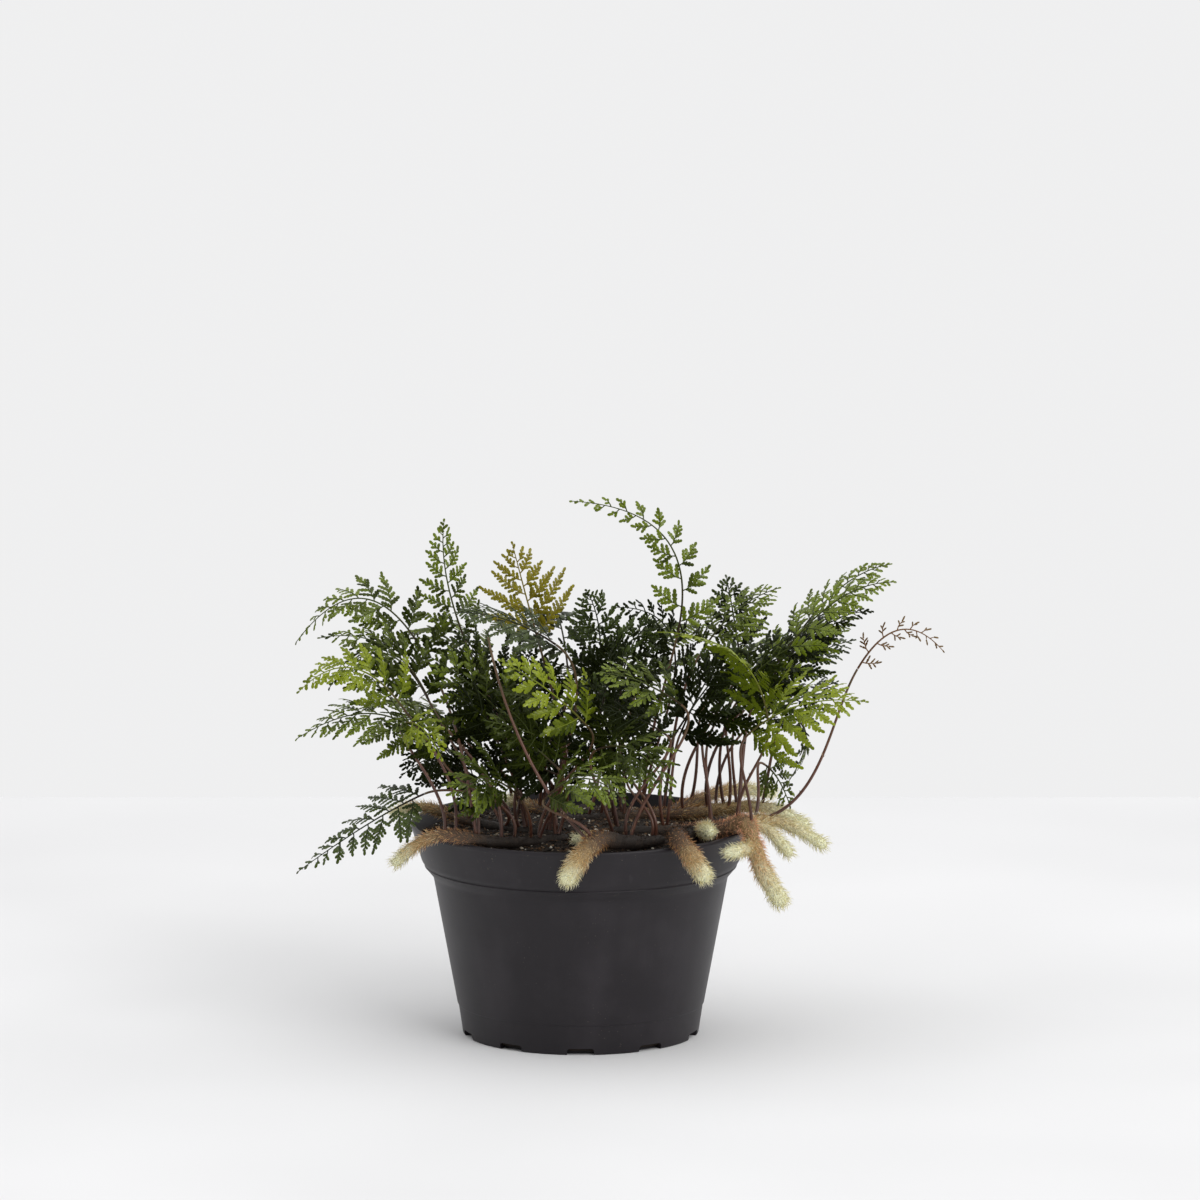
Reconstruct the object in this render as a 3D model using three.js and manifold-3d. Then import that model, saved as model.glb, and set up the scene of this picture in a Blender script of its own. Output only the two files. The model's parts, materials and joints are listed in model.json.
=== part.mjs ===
// A potted fern: finely cut fronds on wiry brown stalks that rise from furry creeping
// rhizomes, in a squat nursery pot filled with potting mix. Millimetres, +Z up, the
// origin at the middle of the pot's underside, the front of the plant towards -Y.
import * as THREE from 'three';
import { ConvexGeometry } from 'three/addons/geometries/ConvexGeometry.js';
import { mergeVertices } from 'three/addons/utils/BufferGeometryUtils.js';
import Module from 'manifold-3d';

const wasm = await Module();
wasm.setup();

// ---- driving dimensions -------------------------------------------------------------
const GAP = 0.3;                 // air kept between separate pieces
const POT_SEGMENTS = 32;         // facets round the pot and the soil

const RIM_RADIUS = 82.5;         // outside of the rolled rim: a 165 mm pot
const RIM_TOP = 103.7;           // height of the pot
const RIM_LIP = 1.7;             // thickness of the rim's upper edge
const RIM_CHAMFER = 0.5;
const BAND_FOOT_RADIUS = 77.6;   // outside of the rim band at its lower edge
const BAND_FOOT_HEIGHT = 86.4;
const BEAD_RADIUS = 75.6;        // thin bead under the band
const BEAD_HEIGHT = 83.4;
const BEAD_STEP = 0.7;           // how far the bead's lower side falls back
const BODY_TOP_RADIUS = 71.7;    // the tapering body, just under the band
const BODY_TOP_HEIGHT = 77.9;
const FOOT_TOP_RADIUS = 60.1;    // step of the foot band
const FOOT_TOP_HEIGHT = 14.6;
const FOOT_STEP = 0.5;
const BASE_RADIUS = 57.4;        // outside of the wall on the floor
const WALL = 1.4;
const BOTTOM = 1.5;

const NOTCH_COUNT = 10;          // drain notches through the wall's foot
const NOTCH_WIDTH = 13;
const NOTCH_HEIGHT = 3.2;
const NOTCH_DEPTH = 9;
const NOTCH_FIRST = 234;         // degrees round from +X

const SOIL_EDGE_RADIUS = 78.4;   // potting mix, a low mound inside the wall
const SOIL_EDGE_HEIGHT = 96.8;
const SOIL_MOUND = [[60, 100], [30, 101.6], [0, 102.2]];   // [radius, height] points

const STALK_RADIUS = 0.85;       // wiry stalks, 1.7 mm thick
const STALK_SIDES = 4;
const STALK_STEPS = 4;
const STALK_RISE = 0.4;          // shares of its reach that a stalk climbs straight up,
const STALK_SETTLE = 0.3;        // and then runs in line with the midrib

const RHIZOME_SIDES = 6;
const RHIZOME_SWELL = 0.04;      // share by which a branch swells and thins along its way
const BRANCH_ENDS = [0.02, 0.93];                          // where the full width holds
const BRANCH_TIP = [0.62, 0.98];                           // its rounded end: width, place

const LEAF_THICKNESS = 0.7;
const RACHIS_HALF_WIDTH = 0.8;
const LEAFLET_FOOT = 0.9;        // half-width of a leaflet where it leaves the midrib
const LEAFLET_FIRST = 0.05;      // share of the midrib below the lowest leaflets
const LEAFLET_SPAN = 0.9;        // share of the midrib that carries leaflets
const LEAFLET_CROWDING = 1.35;   // they stand closer together towards the tip
const LEAFLET_OFFSET = 0.45;     // the left ones stand this share of a step further on
const LEAFLET_ANGLE = 64;        // degrees from the midrib, at the lowest leaflets
const LEAFLET_CLOSING = 32;      // degrees by which that falls up to the tip
const LEAFLET_TAPER = 1.05;      // how fast the leaflets shorten towards the tip
const LEAFLET_LEAST = 2;         // length that even the last one keeps
const LEAFLET_FILL = 0.5;        // half-width, as a share of the room between two
const LEAFLET_BROADEST = 0.36;   // half-width, as a share of the length
const LEAFLET_DROOP = 0.12;      // how far its point hangs, as a share of the length
const LOBE_LENGTH = 12.5;        // length of leaflet for each lobe of its edge
const LOBE_CREST = 0.42;         // crest and cleft of a lobe, as shares of its step
const LOBE_CLEFT = 0.75;
const LOBE_SPAN = 0.92;          // share of the leaflet that has lobes
const LOBE_SHIFT = 0.04;         // the lower side's lobes stand this much nearer its foot
const CLEFT_WIDTH = 0.45;        // width left at a cleft
const LEAF_CLEARANCE = 0.35;     // kept round a leaf where another would touch it

// ---- rhizomes: centre points [x, y, z, radius], fur included --------------------------
const RHIZOMES = {
  rhizome_left: [
    [[-6, -30, 103.6, 3.2], [-27, -46, 104.8, 3.8], [-43, -59, 107.4, 3.8], [-56, -61, 109.6, 3.9],
      [-67, -58, 109.4, 3.9], [-78, -54, 103.6, 3.7], [-89, -52, 93, 3.4]],
    [[-6, -30, 103.6, 3.2], [-28, -14, 104.4, 3.4], [-54, 4, 105.2, 3.4], [-78, 17, 108.6, 3.4],
      [-92, 16, 105, 3]],
  ],
  rhizome_front: [
    [[40, -36, 104.2, 3.6], [31, -50, 105.4, 4.4], [20, -66, 108.6, 5.2], [9, -79, 111.6, 6],
      [1, -90.6, 105.6, 6.1], [-7, -95, 92, 6]],
    [[31, -50, 105.4, 4], [14, -46, 105.2, 3.4], [-3, -51, 104.6, 3.2]],
  ],
  rhizome_right: [
    [[16, -14, 104.2, 3.2], [38, -18, 104.8, 3.8], [56, -22, 105.2, 4.4], [70, -31, 107.4, 5],
      [79, -37, 111.4, 5.3], [83, -47, 102, 5.5], [88, -50, 88.5, 5.6], [97, -52, 73, 5.4]],
    [[56, -22, 105.2, 4.4], [50, -44, 107.2, 5], [46, -67, 111.2, 5.6], [53, -81, 103, 5.8],
      [60, -84, 91.4, 5.6]],
    [[83, -47, 102, 4.4], [78, -58, 101.2, 4], [70, -64, 100.4, 3.6]],
    [[66, -27, 106, 3.8], [82, -17, 108.6, 3.8], [100, -15, 105.4, 3.8], [118, -15, 94.6, 3.4]],
    [[72, -30, 107.4, 4], [88, -27, 106.6, 3.8], [101, -28, 93, 3.6]],
    [[58, -26, 105.6, 4], [60, -42, 107.8, 4.4], [62, -52, 108.6, 4.2]],
  ],
  rhizome_back: [
    [[-4, 18, 104, 3.2], [28, 24, 104.4, 3.6], [55, 21, 105.6, 4], [78, 18, 108.6, 4],
      [94, 12, 108, 3.8], [110, 10, 99.8, 3.4]],
    [[42, 24, 105, 3.8], [58, 43, 108, 3.8], [74, 56, 109.8, 3.8], [95, 61, 107, 3.4]],
    [[-4, 18, 104, 3.2], [-20, 38, 104.2, 3.4], [-36, 58, 104.4, 3.2]],
  ],
};

// ---- fronds ---------------------------------------------------------------------------
// Each stalk leaves its rhizome at the foot and meets the blade at the neck; neck, mid
// and tip are points on the blade's midrib. The upper side looks towards face; half is
// the reach of the lowest leaflets, pairs how many leaflets stand on each side.
const LEAF_COLOURS = { dark: 0x23402a, mid: 0x3c6a26, lime: 0x7aa928, bronze: 0x7c7a1e, young: 0x7a5a34 };
const FRONDS = {
  left_1: { on: 'rhizome_left', foot: [-50, -59, 108], neck: [-72, -5, 180], mid: [-103, -12, 215],
    tip: [-137, -18, 195], face: [-0.3, -0.6, 0.75], half: 29, pairs: 6, leaf: 'mid' },
  left_2: { on: 'rhizome_left', foot: [-38, -55, 106], neck: [-73, -22, 167], mid: [-94, -25, 194],
    tip: [-125, -30, 199], face: [-0.2, -0.6, 0.8], half: 26, pairs: 6, leaf: 'mid' },
  left_3: { on: 'rhizome_left', foot: [-60, -60, 109], neck: [-85, -48, 168], mid: [-109, -58, 189],
    tip: [-134, -66, 179], face: [-0.2, -0.7, 0.7], half: 30, pairs: 6, leaf: 'lime' },
  left_4: { on: 'rhizome_left', foot: [-54, 4, 105], neck: [-74, -25, 147], mid: [-101, -35, 163],
    tip: [-136, -42, 152], face: [0, -0.5, 0.9], half: 30, pairs: 6, leaf: 'mid' },
  left_5: { on: 'rhizome_left', foot: [-32, -50, 105], neck: [-66, -38, 125], mid: [-97, -50, 112],
    tip: [-135, -62, 91], face: [-0.2, -0.6, 0.75], half: 38, pairs: 6, leaf: 'dark' },
  left_6: { on: 'rhizome_left', foot: [-65, -59, 109], neck: [-84, -57, 162], mid: [-75, -67, 161],
    tip: [-66, -74, 148], face: [-0.1, -0.7, 0.7], half: 16, pairs: 5, leaf: 'lime' },
  left_7: { on: 'rhizome_left', foot: [-26, -15, 104], neck: [-56, 0, 193], mid: [-62, 2, 223],
    tip: [-66, 0, 251], face: [0, -1, 0.2], half: 22, pairs: 6, leaf: 'mid' },
  left_8: { on: 'rhizome_left', foot: [-16, -22, 104], neck: [-12, -25, 195], mid: [-36, -30, 208],
    tip: [-60, -35, 212], face: [0, -0.3, 1], half: 26, pairs: 6, leaf: 'dark' },
  top_1: { on: 'rhizome_back', foot: [-12, 28, 104], neck: [-21, 12, 192], mid: [-27, 10, 215],
    tip: [-33, 6, 239], face: [0, -0.9, 0.4], half: 30, pairs: 5, leaf: 'bronze' },
  top_2: { on: 'rhizome_right', foot: [18, -14, 104], neck: [9, -10, 170], mid: [9, -20, 201],
    tip: [3, -32, 222], face: [0, -0.9, 0.3], half: 22, pairs: 6, leaf: 'dark' },
  top_3: { on: 'rhizome_back', foot: [10, 21, 104], neck: [19, 10, 162], mid: [24, 8, 187],
    tip: [35, 0, 202], face: [0, -0.8, 0.5], half: 22, pairs: 5, leaf: 'dark' },
  top_4: { on: 'rhizome_back', foot: [30, 24, 104], neck: [47, 8, 195], mid: [41, 6, 242],
    tip: [-4, 0, 261], face: [0, -0.9, 0.4], half: 22, pairs: 6, leaf: 'mid' },
  top_5: { on: 'rhizome_back', foot: [40, 23, 104], neck: [58, 12, 184], mid: [75, 18, 204],
    tip: [96, 22, 215], face: [-0.3, -0.6, 0.8], half: 26, pairs: 6, leaf: 'mid' },
  top_6: { on: 'rhizome_back', foot: [50, 22, 105], neck: [77, 27, 184], mid: [74, 28, 203],
    tip: [71, 30, 219], face: [0, -1, 0.3], half: 16, pairs: 5, leaf: 'dark' },
  front_1: { on: 'rhizome_left', foot: [-20, -41, 104], neck: [4, -58, 160], mid: [-15, -70, 180],
    tip: [-38, -78, 196], face: [0, -0.8, 0.6], half: 22, pairs: 5, leaf: 'lime' },
  front_2: { on: 'rhizome_left', foot: [-12, -34, 104], neck: [-10, -50, 150], mid: [-28, -64, 160],
    tip: [-46, -72, 166], face: [0, -0.8, 0.6], half: 20, pairs: 5, leaf: 'mid' },
  front_3: { on: 'rhizome_front', foot: [5, -84, 110], neck: [-17, -84, 130], mid: [2, -94, 142],
    tip: [22, -104, 132], face: [0, -0.5, 0.9], half: 30, pairs: 5, leaf: 'mid' },
  front_4: { on: 'rhizome_front', foot: [24, -60, 107], neck: [48, -50, 170], mid: [28, -60, 183],
    tip: [9, -66, 188], face: [0, -0.6, 0.8], half: 22, pairs: 5, leaf: 'mid' },
  right_1: { on: 'rhizome_back', foot: [62, 20, 106], neck: [99, 15, 183], mid: [124, 18, 214],
    tip: [150, 20, 227], face: [-0.4, -0.6, 0.7], half: 24, pairs: 6, leaf: 'mid' },
  right_2: { on: 'rhizome_right', foot: [76, -21, 108], neck: [89, -8, 175], mid: [120, -8, 211],
    tip: [151, -10, 223], face: [-0.4, -0.6, 0.7], half: 30, pairs: 6, leaf: 'mid' },
  right_3: { on: 'rhizome_back', foot: [70, 19, 107], neck: [82, 5, 169], mid: [109, 10, 191],
    tip: [132, 14, 202], face: [-0.3, -0.5, 0.8], half: 26, pairs: 6, leaf: 'mid' },
  right_4: { on: 'rhizome_back', foot: [76, 18, 108], neck: [80, 17, 156], mid: [107, 24, 178],
    tip: [133, 30, 188], face: [-0.2, -0.5, 0.8], half: 26, pairs: 6, leaf: 'dark' },
  right_5: { on: 'rhizome_right', foot: [82, -41, 107], neck: [80, -45, 154], mid: [105, -58, 171],
    tip: [136, -66, 174], face: [0, -0.6, 0.8], half: 34, pairs: 6, leaf: 'lime' },
  right_6: { on: 'rhizome_right', foot: [75, -34, 109], neck: [90, -50, 161], mid: [74, -58, 195],
    tip: [37, -62, 207], face: [0.2, 0.2, 1], half: 22, pairs: 6, leaf: 'lime' },
  right_7: { on: 'rhizome_back', foot: [66, 20, 106], neck: [87, 22, 150], mid: [109, 32, 160],
    tip: [125, 38, 166], face: [0, -0.4, 0.9], half: 20, pairs: 5, leaf: 'dark' },
  right_8: { on: 'rhizome_right', foot: [84, -17, 108], neck: [90, 8, 130], mid: [96.5, 10, 122],
    tip: [102, 12, 109], face: [0.4, -0.9, 0.4], half: 12, pairs: 4, leaf: 'mid' },
  right_9: { on: 'rhizome_back', foot: [88, 14, 108], neck: [105, 30, 149], mid: [110, 36, 135],
    tip: [99, 40, 112], face: [1, 0, 0.3], half: 12, pairs: 4, leaf: 'mid' },
  front_5: { on: 'rhizome_front', foot: [16, -48, 105], neck: [8, -62, 150], mid: [28, -82, 152],
    tip: [44, -95, 132], face: [0.1, -0.8, 0.6], half: 30, pairs: 5, leaf: 'mid' },
  middle_1: { on: 'rhizome_left', foot: [-30, -14, 104], neck: [-30, -12, 148], mid: [-50, -20, 172],
    tip: [-74, -26, 190], face: [0, -0.9, 0.5], half: 34, pairs: 5, leaf: 'mid' },
  middle_2: { on: 'rhizome_left', foot: [-24, -44, 104], neck: [-30, -52, 126], mid: [-46, -66, 136],
    tip: [-62, -82, 126], face: [0, -0.8, 0.6], half: 30, pairs: 5, leaf: 'mid' },
  middle_3: { on: 'rhizome_front', foot: [36, -42, 105], neck: [22, -34, 136], mid: [14, -46, 162],
    tip: [2, -56, 184], face: [0, -0.9, 0.5], half: 36, pairs: 5, leaf: 'dark' },
  middle_4: { on: 'rhizome_right', foot: [40, -18, 105], neck: [46, -16, 150], mid: [62, -28, 176],
    tip: [78, -38, 196], face: [0, -0.9, 0.5], half: 34, pairs: 5, leaf: 'dark' },
  back_1: { on: 'rhizome_back', foot: [-30, 50, 104], neck: [-38, 36, 162], mid: [-64, 58, 188],
    tip: [-92, 78, 178], face: [-0.2, 0.2, 1], half: 34, pairs: 5, leaf: 'mid' },
  back_2: { on: 'rhizome_back', foot: [-20, 38, 104], neck: [-6, 40, 168], mid: [-12, 72, 194],
    tip: [-20, 104, 180], face: [0, 0.3, 1], half: 34, pairs: 5, leaf: 'dark' },
  back_3: { on: 'rhizome_back', foot: [20, 23, 104], neck: [28, 45, 164], mid: [40, 74, 188],
    tip: [52, 104, 174], face: [0.1, 0.3, 1], half: 34, pairs: 5, leaf: 'mid' },
  back_4: { on: 'rhizome_back', foot: [54, 39, 107], neck: [62, 46, 156], mid: [88, 66, 180],
    tip: [114, 86, 172], face: [0.2, 0.3, 1], half: 32, pairs: 5, leaf: 'mid' },
  middle_5: { on: 'rhizome_left', foot: [-36, -9, 104], neck: [-44, -8, 122], mid: [-62, -12, 140],
    tip: [-86, -16, 146], face: [0, -0.9, 0.5], half: 28, pairs: 5, leaf: 'dark' },
  middle_6: { on: 'rhizome_back', foot: [-12, 28, 104], neck: [-32, 5, 150], mid: [-45, -2, 176],
    tip: [-60, -8, 198], face: [0, -0.9, 0.5], half: 34, pairs: 5, leaf: 'dark' },
  middle_7: { on: 'rhizome_left', foot: [-10, -27, 104], neck: [-8, -12, 122], mid: [-14, -22, 146],
    tip: [-22, -30, 172], face: [0, -0.9, 0.4], half: 32, pairs: 5, leaf: 'dark' },
  middle_8: { on: 'rhizome_right', foot: [62, -25, 106], neck: [62, -18, 158], mid: [82, -24, 184],
    tip: [102, -30, 200], face: [-0.2, -0.8, 0.6], half: 28, pairs: 5, leaf: 'dark' },
  back_5: { on: 'rhizome_back', foot: [-34, 56, 104], neck: [-56, 30, 138], mid: [-84, 42, 156],
    tip: [-112, 52, 146], face: [-0.2, 0.2, 1], half: 28, pairs: 5, leaf: 'mid' },
  back_6: { on: 'rhizome_back', foot: [4, 20, 104], neck: [10, 48, 134], mid: [13, 78, 150],
    tip: [16, 108, 138], face: [0, 0.3, 1], half: 28, pairs: 5, leaf: 'dark' },
  young: { on: 'rhizome_right', foot: [88, -16, 108], via: [118, -8, 116], neck: [134, -6, 180],
    mid: [154, -6, 199], tip: [175, -6, 189], face: [0, -1, 0.2], half: 9, pairs: 5, leaf: 'young' },
};

// ---- helpers --------------------------------------------------------------------------
const vec = ([x, y, z]) => new THREE.Vector3(x, y, z);

/** Turns a closed geometry into a solid that can be joined and cut. */
function solid(geometry) {
  const bare = geometry.clone();
  bare.deleteAttribute('normal');
  bare.deleteAttribute('uv');
  const merged = mergeVertices(bare, 1e-4);
  return new wasm.Manifold(new wasm.Mesh({
    numProp: 3,
    vertProperties: Float32Array.from(merged.attributes.position.array),
    triVerts: Uint32Array.from(merged.index.array),
  }));
}

/** Turns a solid back into a geometry. */
function geometryOf(body) {
  const mesh = body.getMesh();
  const geometry = new THREE.BufferGeometry();
  geometry.setAttribute('position', new THREE.Float32BufferAttribute(mesh.vertProperties, 3));
  geometry.setIndex(new THREE.Uint32BufferAttribute(mesh.triVerts, 1));
  geometry.computeVertexNormals();
  return geometry;
}

/** The largest of the bodies that a cut leaves behind. */
function largest(body) {
  return body.decompose().reduce((best, piece) => (piece.volume() > best.volume() ? piece : best));
}

/** A turned solid about +Z from [radius, height] points, bottom to top. */
function turned(profile) {
  const points = profile.map(([radius, height]) => new THREE.Vector2(radius, height));
  const geometry = new THREE.LatheGeometry(points, POT_SEGMENTS);
  geometry.rotateX(Math.PI / 2);
  return solid(geometry);
}

/** Bends a geometry that stands along +Y, from 0 to its length, so that it follows a curve. */
function bendAlong(geometry, curve, length) {
  const steps = 80;
  const frames = curve.computeFrenetFrames(steps, false);
  const position = geometry.attributes.position;
  for (let i = 0; i < position.count; i += 1) {
    const u = THREE.MathUtils.clamp(position.getY(i) / length, 0, 1);
    const k = Math.round(u * steps);
    const point = curve.getPointAt(u)
      .addScaledVector(frames.normals[k], position.getX(i))
      .addScaledVector(frames.binormals[k], -position.getZ(i));
    position.setXYZ(i, point.x, point.y, point.z);
  }
  return geometry;
}

// ---- pot and soil ---------------------------------------------------------------------
function makePot() {
  const body = turned([
    [0, 0],
    [BASE_RADIUS, 0],
    [FOOT_TOP_RADIUS - FOOT_STEP, FOOT_TOP_HEIGHT],
    [FOOT_TOP_RADIUS, FOOT_TOP_HEIGHT + FOOT_STEP],
    [BODY_TOP_RADIUS, BODY_TOP_HEIGHT],
    [BEAD_RADIUS - BEAD_STEP, BEAD_HEIGHT - BEAD_STEP],
    [BEAD_RADIUS, BEAD_HEIGHT],
    [BAND_FOOT_RADIUS, BAND_FOOT_HEIGHT],
    [RIM_RADIUS, RIM_TOP - RIM_CHAMFER],
    [RIM_RADIUS - RIM_CHAMFER, RIM_TOP],
    [RIM_RADIUS - RIM_LIP, RIM_TOP],
    [BAND_FOOT_RADIUS - WALL, BAND_FOOT_HEIGHT],
    [BODY_TOP_RADIUS - WALL, BODY_TOP_HEIGHT],
    [BASE_RADIUS - WALL, BOTTOM],
    [0, BOTTOM],
  ]);
  const notch = new THREE.BoxGeometry(NOTCH_DEPTH, NOTCH_WIDTH, NOTCH_HEIGHT * 2);
  notch.translate(BASE_RADIUS, 0, 0);
  return Array.from({ length: NOTCH_COUNT }, (_, i) => NOTCH_FIRST + (360 / NOTCH_COUNT) * i)
    .reduce((pot, angle) => {
      const cutter = notch.clone().rotateZ(THREE.MathUtils.degToRad(angle));
      return pot.subtract(solid(cutter));
    }, body);
}

function makeSoil() {
  return turned([
    [0, BOTTOM + GAP],
    [BASE_RADIUS - WALL - GAP, BOTTOM + GAP],
    [BODY_TOP_RADIUS - WALL - 2 * GAP, BODY_TOP_HEIGHT],
    [SOIL_EDGE_RADIUS, SOIL_EDGE_HEIGHT],
    ...SOIL_MOUND,
  ]);
}

// ---- rhizomes and stalks --------------------------------------------------------------
/** One furry branch: a round-ended rod, swelling and thinning along its centre points. */
function makeBranch(points, extra) {
  const curve = new THREE.CatmullRomCurve3(points.map(vec), false, 'centripetal');
  const length = curve.getLength();
  const stations = points.length + 1;
  const radiusAt = (u) => {
    const place = u * (points.length - 1);
    const k = Math.min(Math.floor(place), points.length - 2);
    return THREE.MathUtils.lerp(points[k][3], points[k + 1][3], place - k) + extra;
  };
  const profile = [new THREE.Vector2(0, 0)];
  for (let i = 0; i <= stations; i += 1) {
    const u = THREE.MathUtils.lerp(...BRANCH_ENDS, i / stations);
    const swell = 1 + (i % 2 ? RHIZOME_SWELL : -RHIZOME_SWELL);
    profile.push(new THREE.Vector2(radiusAt(u) * swell, u * length));
  }
  profile.push(new THREE.Vector2(radiusAt(1) * BRANCH_TIP[0], length * BRANCH_TIP[1]));
  profile.push(new THREE.Vector2(0, length));
  return solid(bendAlong(new THREE.LatheGeometry(profile, RHIZOME_SIDES), curve, length));
}

/** The midrib of a blade, through its neck, mid and tip points. */
function midrib({ neck, mid, tip }) {
  const control = vec(mid).multiplyScalar(2)
    .addScaledVector(vec(neck), -0.5)
    .addScaledVector(vec(tip), -0.5);
  return new THREE.QuadraticBezierCurve3(vec(neck), control, vec(tip));
}

/** The centre line of a stalk: it rises from its rhizome and runs on into the midrib. */
function stalkCurve(frond) {
  const foot = vec(frond.foot);
  const ahead = midrib(frond).getTangent(0);
  const top = vec(frond.neck).addScaledVector(ahead, -GAP);
  const reach = foot.distanceTo(top);
  const up = new THREE.Vector3(0, 0, reach * STALK_RISE);
  const rise = frond.via ? vec(frond.via) : foot.clone().add(up);
  const settle = top.clone().addScaledVector(ahead, -reach * STALK_SETTLE);
  return new THREE.CubicBezierCurve3(foot, rise, settle, top);
}

function makeStalk(frond, extra) {
  const curve = stalkCurve(frond);
  const length = curve.getLength();
  const radius = STALK_RADIUS + extra;
  const rod = new THREE.CylinderGeometry(radius, radius, length, STALK_SIDES, STALK_STEPS);
  rod.translate(0, length / 2, 0);
  return solid(bendAlong(rod, curve, length));
}

/** A rhizome with all the stalks that stand on it, as one body. */
function makeRhizome(name, extra = 0) {
  const branches = RHIZOMES[name].map((points) => makeBranch(points, extra));
  const stalks = Object.values(FRONDS)
    .filter((frond) => frond.on === name)
    .map((frond) => makeStalk(frond, extra));
  return [...branches, ...stalks].reduce((body, piece) => body.add(piece));
}

// ---- blades ---------------------------------------------------------------------------
/** The leaflets of a blade: where each stands on the midrib, and its angle, length, width. */
function leaflets(frond) {
  const length = midrib(frond).getLength();
  const list = [];
  [-1, 1].forEach((side) => {
    for (let i = 0; i < frond.pairs; i += 1) {
      const place = (k) => LEAFLET_FIRST
        + LEAFLET_SPAN * (1 - (1 - k / frond.pairs) ** LEAFLET_CROWDING);
      const k = i + (side > 0 ? 0 : LEAFLET_OFFSET);
      const q = k / frond.pairs;
      const angle = THREE.MathUtils.degToRad(LEAFLET_ANGLE - LEAFLET_CLOSING * q);
      const pitch = (place(Math.min(k + 1, frond.pairs)) - place(k)) * length;
      const reach = frond.half * (1 - q) ** LEAFLET_TAPER + LEAFLET_LEAST;
      list.push({
        side,
        at: place(k),
        angle,
        reach,
        width: Math.min(LEAFLET_FILL * pitch * Math.sin(angle), reach * LEAFLET_BROADEST),
        lobes: Math.floor(reach / LOBE_LENGTH),
      });
    }
  });
  return { length, list };
}

/** A blade's local axes at a place on its midrib: along it, across it and out of its face. */
function bladeFrame(frond, at) {
  const curve = midrib(frond);
  const along = curve.getTangent(at);
  const across = new THREE.Vector3().crossVectors(along, vec(frond.face)).normalize();
  const out = new THREE.Vector3().crossVectors(across, along);
  return { origin: curve.getPoint(at), along, across, out };
}

/** A leaflet's point at reach t (0 to 1) and half-width w, w > 0 on the side of the tip. */
function leafletPoint(frame, leaflet, t, w, lift) {
  const { side, angle, reach } = leaflet;
  const forward = Math.cos(angle) * t * reach + Math.sin(angle) * w;
  const outward = RACHIS_HALF_WIDTH + Math.sin(angle) * t * reach - Math.cos(angle) * w;
  return frame.origin.clone()
    .addScaledVector(frame.along, forward)
    .addScaledVector(frame.across, outward * side)
    .addScaledVector(frame.out, lift - LEAFLET_DROOP * reach * t * t);
}

/** Half-width of a leaflet at t: broad near the midrib, running out to a fine point. */
const leafletWidth = (leaflet, t) => leaflet.width * (1 - t) ** 0.7 + 0.3;

/** The lobed edge of a leaflet: [reach, half-width] points from its lower side round the tip. */
function leafletEdge(leaflet) {
  const edge = [];
  for (let j = 0; j < leaflet.lobes; j += 1) {
    const crest = (LOBE_SPAN * (j + LOBE_CREST)) / leaflet.lobes;
    const cleft = (LOBE_SPAN * (j + LOBE_CLEFT)) / leaflet.lobes;
    edge.push([crest, leafletWidth(leaflet, crest)]);
    edge.push([cleft, leafletWidth(leaflet, cleft) * CLEFT_WIDTH]);
  }
  const lower = edge.map(([t, w]) => [t - LOBE_SHIFT, -w]);
  return [...lower, [1, 0], ...edge.reverse()];
}

/** A closed thin body from flat triangles: points give the place at a lift above mid-thickness. */
function slab(points, triangles) {
  const half = LEAF_THICKNESS / 2;
  const vertices = points.flatMap((point) => [...point(half).toArray(), ...point(-half).toArray()]);
  const top = (i) => 2 * i;
  const under = (i) => 2 * i + 1;
  const edges = new Set(triangles.flatMap(([a, b, c]) => [`${a},${b}`, `${b},${c}`, `${c},${a}`]));
  const faces = triangles.flatMap(([a, b, c]) => [
    top(a), top(b), top(c), under(a), under(c), under(b),
  ]);
  edges.forEach((edge) => {
    const [a, b] = edge.split(',').map(Number);
    if (edges.has(`${b},${a}`)) return;
    faces.push(top(a), under(a), under(b), top(a), under(b), top(b));
  });
  const geometry = new THREE.BufferGeometry();
  geometry.setAttribute('position', new THREE.Float32BufferAttribute(vertices, 3));
  geometry.setIndex(faces);
  return solid(geometry);
}

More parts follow.
